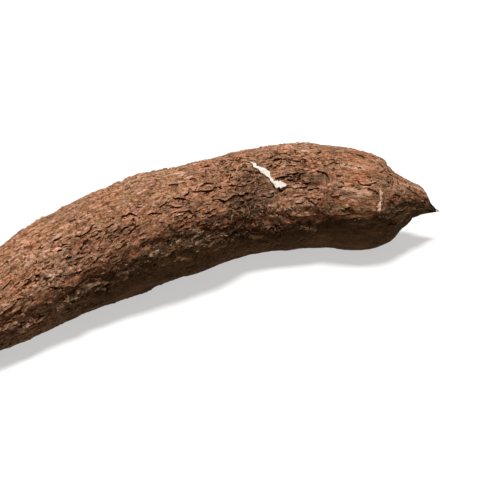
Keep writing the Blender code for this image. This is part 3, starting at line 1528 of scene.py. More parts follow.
# Powers that a brightness is raised to for red, green and blue, so that dark is warm.
WARMING = (1.0, 1.33, 2.05)
# Part of a soft mask's rise that becomes its sharp, ragged edge.
RAGGED_SPAN = (0.38, 0.58)
UNSTRETCHED = (1.0, 1.0, 1.0)
WHITE = (1.0, 1.0, 1.0, 1.0)


class Bench:
    """Shorthand for placing and joining the nodes of one tree."""

    def __init__(self, tree: NodeTree) -> None:
        """Work on the node tree of a material or a group."""
        self.tree = tree

    def node(self, kind: str, **settings: object) -> Node:
        """Place a node.

        Args:
            kind: Type of the node, without its ShaderNode prefix.
            **settings: Properties to set on it.

        Returns:
            The new node.
        """
        made = self.tree.nodes.new(f"ShaderNode{kind}")
        for name, value in settings.items():
            setattr(made, name, value)
        return made

    def feed(self, socket: NodeSocket, value: object) -> None:
        """Join an output to an input, or set the input's own value.

        Args:
            socket: Input to feed.
            value: Output socket, number or colour.
        """
        if isinstance(value, NodeSocket):
            self.tree.links.new(value, socket)
        else:
            socket.default_value = value

    def math(self, operation: str, *values: object, clamp: bool = False) -> NodeSocket:
        """Arithmetic on numbers.

        Args:
            operation: Blender's name of the operation.
            *values: Output sockets or numbers.
            clamp: Whether to keep the result from 0 to 1.

        Returns:
            The result's socket.
        """
        made = self.node("Math", operation=operation, use_clamp=clamp)
        for socket, value in zip(made.inputs, values):
            self.feed(socket, value)
        return made.outputs[0]

    def times(self, *values: object) -> NodeSocket:
        """Product of two or more sockets or numbers."""
        return functools.reduce(functools.partial(self.math, "MULTIPLY"), values)

    def most(self, *values: object) -> NodeSocket:
        """Largest of two or more sockets or numbers."""
        return functools.reduce(functools.partial(self.math, "MAXIMUM"), values)

    def mix(
        self, share: object, first: object, second: object, blend: str = "MIX"
    ) -> NodeSocket:
        """Mix two colours.

        Args:
            share: Share of the second colour.
            first: First colour.
            second: Second colour.
            blend: Blender's name of the way of mixing.

        Returns:
            The mixed colour's socket.
        """
        made = self.node("Mix", data_type="RGBA", blend_type=blend)
        for name, value in (("Factor_Float", share), ("A_Color", first), ("B_Color", second)):
            socket = next(s for s in made.inputs if s.identifier == name)
            self.feed(socket, value)
        return next(s for s in made.outputs if s.identifier == "Result_Color")

    def span(
        self, value: object, low: float, high: float, bottom: float = 0.0, top: float = 1.0
    ) -> NodeSocket:
        """Map the span from low to high smoothly onto bottom to top.

        Args:
            value: Number to map.
            low: Value that becomes bottom.
            high: Value that becomes top.
            bottom: Result at low.
            top: Result at high.

        Returns:
            The mapped number's socket.
        """
        made = self.node("MapRange", interpolation_type="SMOOTHSTEP")
        for socket, number in zip(made.inputs, (value, low, high, bottom, top)):
            self.feed(socket, number)
        return made.outputs[0]

    def warmed(self, shade: object) -> NodeSocket:
        """A brightness as a colour that is warmer the darker it is.

        Args:
            shade: Brightness, 1 for no change.

        Returns:
            The colour's socket.
        """
        made = self.node("CombineColor")
        for socket, power in zip(made.inputs, WARMING):
            self.feed(socket, self.math("POWER", shade, power))
        return made.outputs[0]

    def scaled(self, place: object, stretch: Axes) -> NodeSocket:
        """Coordinates times a factor on each axis.

        Args:
            place: Coordinates.
            stretch: Factors on x, y and z.

        Returns:
            The scaled coordinates' socket.
        """
        mapping = self.node("Mapping")
        self.feed(mapping.inputs["Vector"], place)
        mapping.inputs["Scale"].default_value = stretch
        return mapping.outputs[0]

    def noise(self, place: object, pattern: Pattern) -> NodeSocket:
        """Noise of a pattern.

        Args:
            place: Coordinates.
            pattern: Pattern of the noise.

        Returns:
            The noise's socket, from 0 to 1.
        """
        made = self.node("TexNoise", noise_dimensions="3D")
        self.feed(made.inputs["Vector"], self.scaled(place, pattern.stretch))
        made.inputs["Scale"].default_value = 1.0
        made.inputs["Detail"].default_value = pattern.detail
        made.inputs["Roughness"].default_value = pattern.rough
        return made.outputs["Fac"]

    def shaken(self, place: object, shake: Shake) -> NodeSocket:
        """Coordinates shifted to and fro by noise.

        Args:
            place: Coordinates.
            shake: How they are shifted.

        Returns:
            The shifted coordinates' socket.
        """
        made = self.node("TexNoise", noise_dimensions="3D")
        self.feed(made.inputs["Vector"], place)
        made.inputs["Scale"].default_value = shake.fineness
        made.inputs["Detail"].default_value = shake.detail
        made.inputs["Roughness"].default_value = shake.rough
        moved = self.node("VectorMath", operation="MULTIPLY_ADD")
        self.feed(moved.inputs[0], made.outputs["Color"])
        moved.inputs[1].default_value = (shake.reach, shake.reach, shake.reach)
        self.feed(moved.inputs[2], place)
        return moved.outputs[0]

    def mask(self, name: str) -> NodeSocket:
        """Number kept on the mesh under a name."""
        return self.node("Attribute", attribute_name=name).outputs["Fac"]

    def ragged(self, name: str, shake: object, reach: float) -> NodeSocket:
        """Mask kept on the mesh, its soft edge made sharp and moved by noise, up to a reach."""
        moved = self.math("MULTIPLY_ADD", self.math("SUBTRACT", shake, 0.5), reach, self.mask(name))
        return self.span(moved, *RAGGED_SPAN)

    def place(self, name: str) -> NodeSocket:
        """Coordinates kept on the mesh under a name."""
        return self.node("Attribute", attribute_name=name).outputs["Vector"]

    def group(self, group: NodeTree, **values: object) -> Node:
        """Place a node group.

        Args:
            group: Group to place.
            **values: Value or output for each of its inputs.

        Returns:
            The group's node.
        """
        made = self.node("Group")
        made.node_tree = group
        for name, value in values.items():
            self.feed(made.inputs[name], value)
        return made

    def bump(self, height: object, strength: float, reach: float) -> NodeSocket:
        """Normal that a height gives the surface.

        Args:
            height: Height, in units of reach.
            strength: Share of the full effect.
            reach: Size of one unit of height, in metres.

        Returns:
            The normal's socket.
        """
        made = self.node("Bump")
        made.inputs["Strength"].default_value = strength
        made.inputs["Distance"].default_value = reach
        self.feed(made.inputs["Height"], height)
        return made.outputs[0]


def new_group(
    name: str, inputs: Sequence[tuple[str, str]], outputs: Sequence[tuple[str, str]]
) -> tuple[Bench, dict[str, NodeSocket], Node]:
    """Start a shader node group.

    Args:
        name: Name of the group.
        inputs: Name and kind (Float, Vector or Color) of each input.
        outputs: Name and kind of each output.

    Returns:
        The group's bench, its input sockets by name, and its output node.
    """
    tree = bpy.data.node_groups.new(name, "ShaderNodeTree")
    for label, kind in inputs:
        tree.interface.new_socket(name=label, in_out="INPUT", socket_type=f"NodeSocket{kind}")
    for label, kind in outputs:
        tree.interface.new_socket(name=label, in_out="OUTPUT", socket_type=f"NodeSocket{kind}")
    start, end = tree.nodes.new("NodeGroupInput"), tree.nodes.new("NodeGroupOutput")
    return Bench(tree), {label: start.outputs[label] for label, _ in inputs}, end


@dataclass(frozen=True)
class FineGrain:
    """Fine grain: a height for bump, a mottle for colour, and light specks."""

    small: Pattern = Pattern((440.0, 540.0, 540.0), 3.0, 0.65)
    tiny: Pattern = Pattern((1100.0, 1300.0, 1300.0), 2.0)
    long: Pattern = Pattern((120.0, 360.0, 360.0), 3.0)
    small_height: float = 0.6
    tiny_height: float = 0.25
    long_height: float = 0.35
    small_mottle: float = 0.62
    long_mottle: float = 0.38
    speck_span: Span = (0.62, 0.76)

    def group(self) -> NodeTree:
        """Build the node group.

        Returns:
            The group.
        """
        bench, given, end = new_group(
            "fine_grain",
            (("Place", "Vector"),),
            (("Height", "Float"), ("Mottle", "Float"), ("Speck", "Float")),
        )
        small = bench.noise(given["Place"], self.small)
        tiny = bench.noise(given["Place"], self.tiny)
        long = bench.noise(given["Place"], self.long)
        height = bench.math(
            "MULTIPLY_ADD", small, self.small_height, bench.times(tiny, self.tiny_height)
        )
        height = bench.math("MULTIPLY_ADD", long, self.long_height, height)
        mottle = bench.math(
            "MULTIPLY_ADD", small, self.small_mottle, bench.times(long, self.long_mottle)
        )
        bench.feed(end.inputs["Height"], height)
        bench.feed(end.inputs["Mottle"], mottle)
        bench.feed(end.inputs["Speck"], bench.span(tiny, *self.speck_span))
        return bench.tree


@dataclass(frozen=True)
class Creases:
    """Thin, wandering dark creases that run along the root and break off."""

    stretch: Axes = (95.0, 300.0, 300.0)
    shake: Shake = Shake(2.4, 0.8)
    line: Pattern = Pattern(UNSTRETCHED, 2.0, 0.5)
    patches: Pattern = Pattern((130.0, 260.0, 260.0), 1.0)
    patch_span: Span = (0.46, 0.60)

    def group(self) -> NodeTree:
        """Build the node group, whose creases follow the middle value of a noise.

        Returns:
            The group.
        """
        bench, given, end = new_group(
            "creases", (("Place", "Vector"), ("Width", "Float")), (("Crease", "Float"),)
        )
        place = bench.shaken(bench.scaled(given["Place"], self.stretch), self.shake)
        off = bench.math("SUBTRACT", bench.noise(place, self.line), 0.5)
        off = bench.math("DIVIDE", bench.math("ABSOLUTE", off), given["Width"])
        thin = bench.math("SUBTRACT", 1.0, off, clamp=True)
        here = bench.span(bench.noise(given["Place"], self.patches), *self.patch_span)
        bench.feed(end.inputs["Crease"], bench.times(thin, here))
        return bench.tree


@dataclass(frozen=True)
class Flaking:
    """Thin bark layers that end in ragged steps, with painted shade at the foot and a painted
    highlight on the rim.
    """

    stretch: Axes = (75.0, 190.0, 190.0)
    shake: Shake = Shake(3.2, 0.75)
    line: Pattern = Pattern(UNSTRETCHED, 1.0)
    step: Span = (0.0, 0.22)
    foot_after: Span = (0.14, 0.0)
    foot_before: Span = (0.86, 1.0)
    rim_start: Span = (0.14, 0.24)
    rim_end: Span = (0.48, 0.30)

    def group(self) -> NodeTree:
        """Build the node group.

        Returns:
            The group.
        """
        bench, given, end = new_group(
            "flaking",
            (("Place", "Vector"), ("Layers", "Float"), ("Fineness", "Float")),
            (("Height", "Float"), ("Foot", "Float"), ("Rim", "Float"), ("Tint", "Float")),
        )
        sized = bench.node("VectorMath", operation="SCALE")
        bench.feed(sized.inputs[0], given["Place"])
        bench.feed(sized.inputs["Scale"], given["Fineness"])
        place = bench.shaken(bench.scaled(sized.outputs[0], self.stretch), self.shake)
        level = bench.times(bench.noise(place, self.line), given["Layers"])
        whole = bench.math("FLOOR", level)
        share = bench.math("SUBTRACT", level, whole)
        height = bench.math("ADD", whole, bench.span(share, *self.step))
        height = bench.math("DIVIDE", height, given["Layers"])
        # Painted shade at the foot of each step and a painted highlight on its rim.
        foot = bench.most(bench.span(share, *self.foot_after), bench.span(share, *self.foot_before))
        rim = bench.times(bench.span(share, *self.rim_start), bench.span(share, *self.rim_end))
        tone = bench.node("TexWhiteNoise", noise_dimensions="1D")
        bench.feed(tone.inputs["W"], whole)
        found = {"Height": height, "Foot": foot, "Rim": rim, "Tint": tone.outputs["Value"]}
        for name, socket in found.items():
            bench.feed(end.inputs[name], socket)
        return bench.tree


@dataclass(frozen=True)
class Groups:
    """The node groups that the finishes share, each built once."""

    grain: NodeTree = field(default_factory=lambda: FineGrain().group())
    creases: NodeTree = field(default_factory=lambda: Creases().group())
    flaking: NodeTree = field(default_factory=lambda: Flaking().group())


def new_material(
    name: str, roughness: float, specular: float = 0.5
) -> tuple[Material, Bench, Node]:
    """Start a material.

    Args:
        name: Name of the material.
        roughness: Its roughness.
        specular: Strength of its reflections, 0.5 for plain glossy matter.

    Returns:
        The material, its bench and its Principled BSDF.
    """
    material = bpy.data.materials.new(name)
    material.use_nodes = True
    shader = material.node_tree.nodes["Principled BSDF"]
    shader.inputs["Roughness"].default_value = roughness
    shader.inputs["Specular IOR Level"].default_value = specular
    return material, Bench(material.node_tree), shader


@dataclass(frozen=True)
class BarkNodes:
    """Nodes that every part of the bark's finish reads."""

    bench: Bench
    place: NodeSocket
    grain: Node
    crease: NodeSocket
    broad: Node
    small: Node
    edge: NodeSocket


@dataclass(frozen=True)
class BarkFinish:
    """Dull, flaking brown bark over a reddish inner bark.

    A span is where a noise or mask starts to show and where it shows in full, a ramp gives
    the results at its two ends as well, and a share is how strongly a colour is laid on.
    Each flaking has its number of layers and its fineness.
    """

    name: str = "bark"
    roughness: float = 0.80
    specular: float = 0.02
    bump: float = 1.15
    bump_reach: float = 0.0014
    grain_height: float = 0.30
    broad_height: float = 2.4
    small_height: float = 1.2
    crease_height: float = -0.3
    smooth_ramp: Ramp = (0.0, 1.0, 1.0, 0.30)

    crease_width: float = 0.034
    broad_flaking: Span = (9.0, 1.0)
    small_flaking: Span = (7.0, 2.3)
    edge_pattern: Pattern = Pattern((300.0, 420.0, 420.0), 3.0, 0.7)

    tan: Colour = (0.495, 0.238, 0.122, 1.0)
    brown: Colour = (0.26, 0.1072, 0.0432, 1.0)
    olive: Colour = (0.17, 0.086, 0.035, 1.0)
    inner: Colour = (0.36, 0.122, 0.05, 1.0)
    pink: Colour = (0.47, 0.22, 0.109, 1.0)
    # Pale greyish tan of bark patches, also used for the painted highlight on the flakes' lips in
    # the underside's shade.
    dusty_and_highlight: Colour = (0.43, 0.236, 0.131, 1.0)
    knot: Colour = (0.135, 0.066, 0.028, 1.0)
    patches: Pattern = Pattern((22.0, 30.0, 30.0), 3.0)
    blotches: Pattern = Pattern((55.0, 95.0, 95.0), 3.0, 0.65)
    bands: Pattern = Pattern((14.0, 120.0, 120.0), 3.0)
    streaks: Pattern = Pattern((60.0, 300.0, 300.0), 2.0)
    knots: Pattern = Pattern((95.0, 130.0, 130.0), 3.0, 0.7)
    tan_span: Span = (0.38, 0.60)
    olive_ramp: Ramp = (0.54, 0.70, 0.0, 0.70)
    inner_span: Span = (0.28, 0.50)
    inner_share: float = 0.85
    pink_span: Span = (0.40, 0.58)
    dusty_span: Span = (0.56, 0.70)
    streak_ramp: Ramp = (0.50, 0.38, 0.0, 0.8)
    shoulder_share: float = 0.75
    neck_span: Span = (0.49, 0.61)
    neck_share: float = 0.85
    knot_ramp: Ramp = (0.51, 0.41, 0.0, 0.88)

    sand: Colour = (0.57, 0.288, 0.155, 1.0)
    rust: Colour = (1.08, 0.94, 0.83, 1.0)
    straw: Colour = (0.96, 1.03, 1.03, 1.0)
    # Pale tan for the painted highlight on rims, for the light specks and for the dust.
    pale_highlight_and_dust: Colour = (0.81, 0.495, 0.325, 1.0)
    pit: Colour = (0.145, 0.046, 0.010, 1.0)
    hues: Pattern = Pattern((45.0, 130.0, 130.0), 4.0, 0.7)
    pits: Pattern = Pattern((360.0, 440.0, 440.0), 2.0)
    sand_share: float = 0.35
    red_ramp: Ramp = (0.50, 0.95, 0.0, 0.50)
    grey_ramp: Ramp = (0.45, 0.05, 0.0, 0.45)
    tone_ramp: Ramp = (0.0, 1.0, 0.66, 1.34)
    tint_ramp: Ramp = (0.0, 1.0, 0.74, 1.26)
    fine_ramp: Ramp = (0.0, 1.0, 0.82, 1.18)
    mottle_ramp: Ramp = (0.32, 0.68, 0.32, 1.68)
    hue_span: Span = (0.38, 0.58)
    small_rim: float = 0.7
    rim_share: float = 0.52
    pit_ramp: Ramp = (0.46, 0.35, 0.0, 0.80)
    calm_pits: float = 0.7
    speck_ramp: Ramp = (0.0, 1.0, 0.40, 0.80)

    stain: Colour = (0.1, 0.067, 0.042, 1.0)
    # Painted shade above and on the underside: darkest just below its limit, with lighter patches
    # further down.
    dusk: Colour = (0.68, 0.61, 0.55, 1.0)
    under: Colour = (0.204, 0.129, 0.066, 1.0)
    underside_shade: Colour = (0.425, 0.240, 0.125, 1.0)
    shadow: Colour = (0.090, 0.054, 0.030, 1.0)
    low_streaks: Pattern = Pattern((80.0, 330.0, 330.0), 3.0, 0.65)
    underside_patches: Pattern = Pattern((26.0, 60.0, 60.0), 4.0, 0.65)
    stain_ramp: Ramp = (0.38, 0.58, 0.22, 0.88)
    low_streak_ramp: Ramp = (0.47, 0.37, 0.0, 0.8)
    underside_patch_ramp: Ramp = (0.46, 0.60, 0.0, 0.65)
    border_shake: float = 1.6
    under_share: float = 0.90
    # Strength of the painted highlight on the flakes' lips in the underside's shade.
    lip_highlight_share: float = 0.45
    dust_share: float = 0.60

    # Painted shade in the fissures and creases and at the feet of the layers.
    fissure: Colour = (0.042, 0.0095, 0.0012, 1.0)
    broad_foot: float = 0.75
    small_foot: float = 0.55
    crease_share: float = 0.9
    calm_ramp: Ramp = (0.0, 1.0, 1.0, 0.28)
    crack_shake: float = 0.5
    crack_share: float = 0.95

    fibre: Colour = (0.4, 0.205, 0.115, 1.0)
    spike: Colour = (0.052, 0.031, 0.013, 1.0)
    scar: Colour = (0.98, 0.61, 0.42, 1.0)
    flesh: Colour = (0.99, 0.91, 0.82, 1.0)
    fibre_ramp: Ramp = (0.35, 0.65, 0.55, 1.25)
    torn_shake: float = 0.8
    scar_shake: float = 0.7
    scar_share: float = 0.9

    def material(self, groups: Groups) -> Material:
        """Build the finish.

        Args:
            groups: Shared node groups.

        Returns:
            The material.
        """
        material, bench, shader = new_material(self.name, self.roughness, self.specular)
        place = bench.place("unrolled")
        grain = bench.group(groups.grain, Place=place)
        crease = bench.group(groups.creases, Place=place, Width=self.crease_width).outputs[0]
        broad, small = (
            bench.group(groups.flaking, Place=place, Layers=layers, Fineness=fineness)
            for layers, fineness in (self.broad_flaking, self.small_flaking)
        )
        edge = bench.noise(place, self.edge_pattern)
        nodes = BarkNodes(bench, place, grain, crease, broad, small, edge)
        colour = self.layers(nodes, self.ground(nodes))
        colour = self.cracks(nodes, self.underside(nodes, colour))
        bench.feed(shader.inputs["Base Color"], self.scars(nodes, colour))
        bench.feed(shader.inputs["Normal"], self.normal(nodes))
        return material

    def ground(self, nodes: BarkNodes) -> NodeSocket:
        """Broad colours: tan and brown bark, dull patches, bared inner bark, pink shoulder.

        Args:
            nodes: Nodes to read.

        Returns:
            The colour's socket.
        """
        bench, mask = nodes.bench, nodes.bench.mask
        patches, blotches, bands, streaks, knots = (
            bench.noise(nodes.place, pattern)
            for pattern in (self.patches, self.blotches, self.bands, self.streaks, self.knots)
        )
        colour = bench.mix(bench.span(patches, *self.tan_span), self.brown, self.tan)
        colour = bench.mix(bench.span(blotches, *self.olive_ramp), colour, self.olive)
        bared = bench.times(mask("peeled"), bench.span(blotches, *self.inner_span))
        colour = bench.mix(bench.times(bared, self.inner_share), colour, self.inner)
        shoulder = bench.mix(bench.span(bands, *self.pink_span), self.inner, self.pink)
        shoulder = bench.mix(bench.span(bands, *self.dusty_span), shoulder, self.dusty_and_highlight)
        shoulder = bench.mix(bench.span(streaks, *self.streak_ramp), shoulder, self.brown)
        colour = bench.mix(bench.times(mask("calm"), self.shoulder_share), colour, shoulder)
        neck = bench.mix(bench.span(blotches, *self.neck_span), self.brown, self.dusty_and_highlight)
        colour = bench.mix(bench.times(mask("neck"), self.neck_share), colour, neck)
        smooth = bench.most(mask("neck"), mask("calm"))
        knots = bench.times(smooth, bench.span(knots, *self.knot_ramp))
        return bench.mix(knots, colour, self.knot)

    def layers(self, nodes: BarkNodes, colour: object) -> NodeSocket:
        """Tint each layer and flake, mottle the bark, and add painted rim highlights, pits and
        specks.

        Args:
            nodes: Nodes to read.
            colour: Colour so far.

        Returns:
            The new colour's socket.
        """
        bench, mask = nodes.bench, nodes.bench.mask
        tint = nodes.broad.outputs["Tint"]
        colour = bench.mix(bench.times(mask("even"), self.sand_share), colour, self.sand)
        colour = bench.mix(bench.span(tint, *self.red_ramp), colour, self.inner)
        colour = bench.mix(bench.span(tint, *self.grey_ramp), colour, self.dusty_and_highlight)
        shade = bench.times(
            bench.span(mask("tone"), *self.tone_ramp),
            bench.span(nodes.grain.outputs["Mottle"], *self.mottle_ramp),
            bench.span(tint, *self.tint_ramp),
            bench.span(nodes.small.outputs["Tint"], *self.fine_ramp),
        )
        colour = bench.mix(1.0, colour, bench.warmed(shade), "MULTIPLY")
        hue = bench.span(bench.noise(nodes.place, self.hues), *self.hue_span)
        colour = bench.mix(1.0, colour, bench.mix(hue, self.rust, self.straw), "MULTIPLY")
        # Painted highlight: the rims of the layers and the free edges of the flakes are laid
        # lighter.
        small_rim = bench.times(nodes.small.outputs["Rim"], self.small_rim)
        rim = bench.most(nodes.broad.outputs["Rim"], mask("rim"), small_rim)
        colour = bench.mix(bench.times(rim, self.rim_share), colour, self.pale_highlight_and_dust)
        pits = bench.span(bench.noise(nodes.place, self.pits), *self.pit_ramp)
        calm = bench.times(mask("calm"), self.calm_pits)
        pitted = bench.most(mask("even"), mask("neck"), calm)
        colour = bench.mix(bench.times(pits, pitted), colour, self.pit)
        speckled = bench.span(bench.most(mask("even"), mask("stain")), *self.speck_ramp)
        speck = bench.times(nodes.grain.outputs["Speck"], speckled)
        return bench.mix(speck, colour, self.pale_highlight_and_dust)

    def underside(self, nodes: BarkNodes, colour: object) -> NodeSocket:
        """Add stains, painted shade above and on the underside, painted lip highlights, and dust.

        Args:
            nodes: Nodes to read.
            colour: Colour so far.

        Returns:
            The new colour's socket.
        """
        bench, mask = nodes.bench, nodes.bench.mask
        stain = bench.times(mask("stain"), bench.span(nodes.edge, *self.stain_ramp))
        colour = bench.mix(stain, colour, self.stain)
        # Painted shade: the band above the underside is darkened, with dark streaks only inside it.
        colour = bench.mix(mask("dusk"), colour, self.dusk, "MULTIPLY")
        streaks = bench.span(bench.noise(nodes.place, self.low_streaks), *self.low_streak_ramp)
        colour = bench.mix(bench.times(mask("dusk"), streaks), colour, self.pit)
        # Painted shade of the underside: darkest just below its limit, with lighter patches further
        # down.
        patches = bench.span(bench.noise(nodes.place, self.underside_patches), *self.underside_patch_ramp)
        underside_shade = bench.mix(patches, self.under, self.underside_shade)
        underside_shade = bench.mix(mask("deep"), self.shadow, underside_shade)
        under = bench.ragged("under", nodes.edge, self.border_shake)
        under = bench.times(under, self.under_share)
        colour = bench.mix(under, colour, underside_shade)
        # Painted highlight: rims of the flakes inside the underside's painted shade are laid
        # lighter.
        lip_highlight = bench.times(mask("rim"), under, self.lip_highlight_share)
        colour = bench.mix(lip_highlight, colour, self.dusty_and_highlight)
        dust = bench.ragged("dust", nodes.edge, self.border_shake)
        return bench.mix(bench.times(dust, self.dust_share), colour, self.pale_highlight_and_dust)

    def cracks(self, nodes: BarkNodes, colour: object) -> NodeSocket:
        """Darken the creases, the feet of the layers and the fissures with painted shade.

        Args:
            nodes: Nodes to read.
            colour: Colour so far.

        Returns:
            The new colour's socket.
        """
        bench, mask = nodes.bench, nodes.bench.mask
        foot = bench.most(
            bench.times(nodes.broad.outputs["Foot"], self.broad_foot),
            bench.times(nodes.small.outputs["Foot"], self.small_foot),
            bench.times(nodes.crease, self.crease_share),
        )
        calm = bench.most(mask("calm"), mask("even"), mask("neck"))
        foot = bench.times(foot, bench.span(calm, *self.calm_ramp))
        crack = bench.ragged("crack", nodes.edge, self.crack_shake)
        dark = bench.most(foot, bench.times(crack, self.crack_share))
        return bench.mix(dark, colour, self.fissure)

    def scars(self, nodes: BarkNodes, colour: object) -> NodeSocket:
        """Put the torn end, the pale scars and the bared flesh over the bark.

        Args:
            nodes: Nodes to read.
            colour: Colour so far.

        Returns:
            The new colour's socket.
        """
        bench = nodes.bench
        streak = bench.span(nodes.grain.outputs["Mottle"], *self.fibre_ramp)
        fibre = bench.mix(1.0, self.fibre, streak, "MULTIPLY")
        colour = bench.mix(bench.ragged("torn", nodes.edge, self.torn_shake), colour, fibre)
        colour = bench.mix(bench.mask("spike"), colour, self.spike)
        pale = bench.ragged("pale", nodes.edge, self.scar_shake)
        colour = bench.mix(bench.times(pale, self.scar_share), colour, self.scar)
        flesh = bench.ragged("flesh", nodes.edge, self.scar_shake)
        return bench.mix(flesh, colour, self.flesh)

    def normal(self, nodes: BarkNodes) -> NodeSocket:
        """Fine relief of the grain, layers and creases, flatter on scars and flesh.

        Args:
            nodes: Nodes to read.

        Returns:
            The normal's socket.
        """
        bench = nodes.bench
        height = bench.times(nodes.grain.outputs["Height"], self.grain_height)
        for socket, share in (
            (nodes.broad.outputs["Height"], self.broad_height),
            (nodes.small.outputs["Height"], self.small_height),
            (nodes.crease, self.crease_height),
        ):
            height = bench.math("MULTIPLY_ADD", socket, share, height)
        smooth = bench.most(bench.mask("flesh"), bench.mask("pale"))
        height = bench.times(height, bench.span(smooth, *self.smooth_ramp))
        return bench.bump(height, self.bump, self.bump_reach)


@dataclass(frozen=True)
class SoilFinish:
    """Dry, pale soil."""

    name: str = "dry_soil"
    pale: Colour = (0.38, 0.27, 0.175, 1.0)
    dark: Colour = (0.13, 0.085, 0.055, 1.0)
    patches: Pattern = Pattern((160.0, 160.0, 160.0), 2.0)
    patch_span: Span = (0.40, 0.60)
    mottle_ramp: Ramp = (0.3, 0.7, 0.7, 1.3)
    roughness: float = 0.95
    specular: float = 0.05
    bump: float = 0.5
    bump_reach: float = 0.0003

    def material(self, groups: Groups) -> Material:
        """Build the finish, which changes from pale to dark in patches.

        Args:
            groups: Shared node groups.

        Returns:
            The material.
        """
        material, bench, shader = new_material(self.name, self.roughness, self.specular)
        place = bench.node("TexCoord").outputs["Object"]
        grain = bench.group(groups.grain, Place=place)
        patches = bench.span(bench.noise(place, self.patches), *self.patch_span)
        colour = bench.mix(patches, self.dark, self.pale)
        shade = bench.span(grain.outputs["Mottle"], *self.mottle_ramp)
        bench.feed(shader.inputs["Base Color"], bench.mix(1.0, colour, shade, "MULTIPLY"))
        normal = bench.bump(grain.outputs["Height"], self.bump, self.bump_reach)
        bench.feed(shader.inputs["Normal"], normal)
        return material


@dataclass(frozen=True)
class StrawFinish(SoilFinish):
    """Dry plant fibre the colour of straw, built as the soil is."""

    name: str = "straw_fibre"
    pale: Colour = (0.52, 0.36, 0.22, 1.0)
    dark: Colour = (0.26, 0.15, 0.085, 1.0)
    patches: Pattern = Pattern((70.0, 70.0, 70.0), 2.0)
    patch_span: Span = (0.38, 0.62)
    roughness: float = 0.7
    specular: float = 0.08
    bump: float = 0.4
    bump_reach: float = 0.0002


@dataclass(frozen=True)
class DarkFibreFinish(StrawFinish):
    """Dry plant fibre, dark brown."""

    name: str = "dark_fibre"
    pale: Colour = (0.11, 0.066, 0.036, 1.0)
    dark: Colour = (0.032, 0.020, 0.010, 1.0)


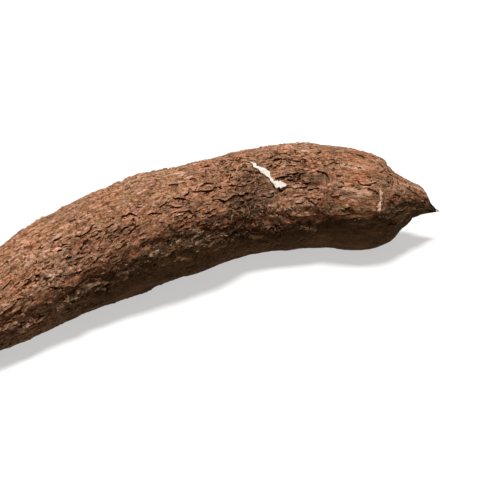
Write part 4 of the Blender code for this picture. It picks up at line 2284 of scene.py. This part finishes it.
@dataclass(frozen=True)
class Studio:
    """Pale floor, soft overhead light and the camera."""

    azimuth: float = -27.2
    elevation: float = 30.0
    distance: float = 0.7253
    lens: float = 85.0
    aim: tuple[float, float, float] = (0.044, -0.026, 0.032)
    floor_size: float = 14.0
    floor_colour: Colour = (0.50, 0.50, 0.495, 1.0)
    floor_glow: float = 0.51
    floor_roughness: float = 0.9
    key_tilt: float = 1.0
    key_softness: float = 16.0
    key_strength: float = 3.45
    fill_strength: float = 0.16
    fill_colour: Colour = (1.0, 0.83, 0.65, 1.0)
    backdrop_strength: float = 1.0

    def heading(self) -> Vector:
        """Level direction in which the camera looks."""
        turn = math.radians(self.azimuth)
        return Vector((-math.sin(turn), math.cos(turn), 0.0))

    def camera(self) -> Object:
        """Camera that looks down on the root.

        Returns:
            The camera.
        """
        tilt = math.radians(self.elevation)
        gaze = self.heading() * math.cos(tilt) - Vector((0.0, 0.0, math.sin(tilt)))
        data = bpy.data.cameras.new("camera")
        data.lens = self.lens
        camera = bpy.data.objects.new("camera", data)
        camera.location = Vector(self.aim) - gaze * self.distance
        camera.rotation_euler = gaze.to_track_quat("-Z", "Y").to_euler()
        bpy.context.scene.collection.objects.link(camera)
        bpy.context.scene.camera = camera
        return camera

    def light(self) -> Object:
        """Soft, even light from overhead, leaning a little towards the camera.

        Returns:
            The light.
        """
        data = bpy.data.lights.new("key", "SUN")
        data.angle = math.radians(self.key_softness)
        data.energy = self.key_strength
        light = bpy.data.objects.new("key", data)
        tilt = math.radians(self.key_tilt)
        beam = self.heading() * math.sin(tilt) - Vector((0.0, 0.0, math.cos(tilt)))
        light.location = -beam
        light.rotation_euler = beam.to_track_quat("-Z", "Y").to_euler()
        bpy.context.scene.collection.objects.link(light)
        return light

    def world(self) -> None:
        """Dim, even light from all round, seen as a white backdrop."""
        world = bpy.data.worlds.new("studio")
        world.use_nodes = True
        bench = Bench(world.node_tree)
        background = world.node_tree.nodes["Background"]
        seen = bench.node("LightPath").outputs["Is Camera Ray"]
        tint = bench.mix(seen, self.fill_colour, WHITE)
        bench.feed(background.inputs["Color"], tint)
        strength = bench.node("MapRange")
        levels = (seen, 0.0, 1.0, self.fill_strength, self.backdrop_strength)
        for socket, value in zip(strength.inputs, levels):
            bench.feed(socket, value)
        bench.feed(background.inputs["Strength"], strength.outputs[0])
        bpy.context.scene.world = world

    def floor(self) -> Object:
        """Pale floor at the height that the root rests on.

        Returns:
            The floor.
        """
        bm = bmesh.new()
        bmesh.ops.create_grid(bm, x_segments=1, y_segments=1, size=self.floor_size / 2.0)
        mesh = finished(bm, "floor")
        material, _, shader = new_material("floor", self.floor_roughness)
        shader.inputs["Base Color"].default_value = self.floor_colour
        shader.inputs["Emission Color"].default_value = WHITE
        shader.inputs["Emission Strength"].default_value = self.floor_glow
        mesh.materials.append(material)
        floor = bpy.data.objects.new("floor", mesh)
        floor.visible_diffuse = False
        bpy.context.scene.collection.objects.link(floor)
        return floor

    def build(self) -> None:
        """Set up the whole studio."""
        self.floor()
        self.light()
        self.world()
        self.camera()
        bpy.context.scene.view_settings.view_transform = "Standard"


def main() -> None:
    """Build the studio and every piece of the root, and report each piece."""
    logging.basicConfig(level=logging.INFO, format="%(name)s: %(message)s")
    Studio().build()
    groups = Groups()
    bark = BarkFinish().material(groups)
    soil = SoilFinish().material(groups)
    straw = StrawFinish().material(groups)
    dark_fibre = DarkFibreFinish().material(groups)

    surface = RootSurface()
    scatter = FlakeScatter(surface.relief, count=2050, seed=41)
    flakes = BarkFlakes(surface, FlakeShape(columns=5, rows=2), "bark_flakes")
    ledges = BarkFlakes(
        surface, FlakeShape(columns=14, rows=3), "bark_ledges", skirt_out=1.2, darkness=1.0
    )
    smear = BarkFlakes(
        surface, FlakeShape(columns=26, rows=5), "bared_flesh", sunk=0.30, skirt_out=0.5,
        ragged=1.1, darkness=0.3, start=9.2, scar=Scar.FLESH,
    )
    scars = BarkFlakes(
        surface, FlakeShape(columns=12, rows=3), "pale_scars", skirt_out=0.5, ragged=0.30,
        darkness=0.35, scar=Scar.PALE,
    )
    rootlets = Rootlets(surface, "hair_rootlets", radius=0.22, seed=5)
    stalk = TornFibres(
        surface, "stalk_fibres", radius=0.50, seed=8, count=26, start=13.0, end=-2.8, flare=0.35
    )
    tail = TornFibres(
        surface, "tail_fibres", radius=0.30, seed=9, count=12, start=396.0, end=405.5, flare=0.9
    )

    skin = RootBody(surface).build()
    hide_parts(NODE)
    pieces = (
        (skin, bark),
        (flakes.build(scatter.choose()), bark),
        (ledges.build(LEDGES), bark),
        (smear.build(SMEAR), bark),
        (scars.build(PALE_SCARS), bark),
        (SoilCrumbs(surface).build(), soil),
        (rootlets.build(), straw),
        (stalk.build(), dark_fibre),
        (tail.build(), straw),
    )
    for piece, finish in pieces:
        piece.data.materials.append(finish)
        log.info("%s: %d faces", piece.name, len(piece.data.polygons))


if __name__ == "__main__":
    main()
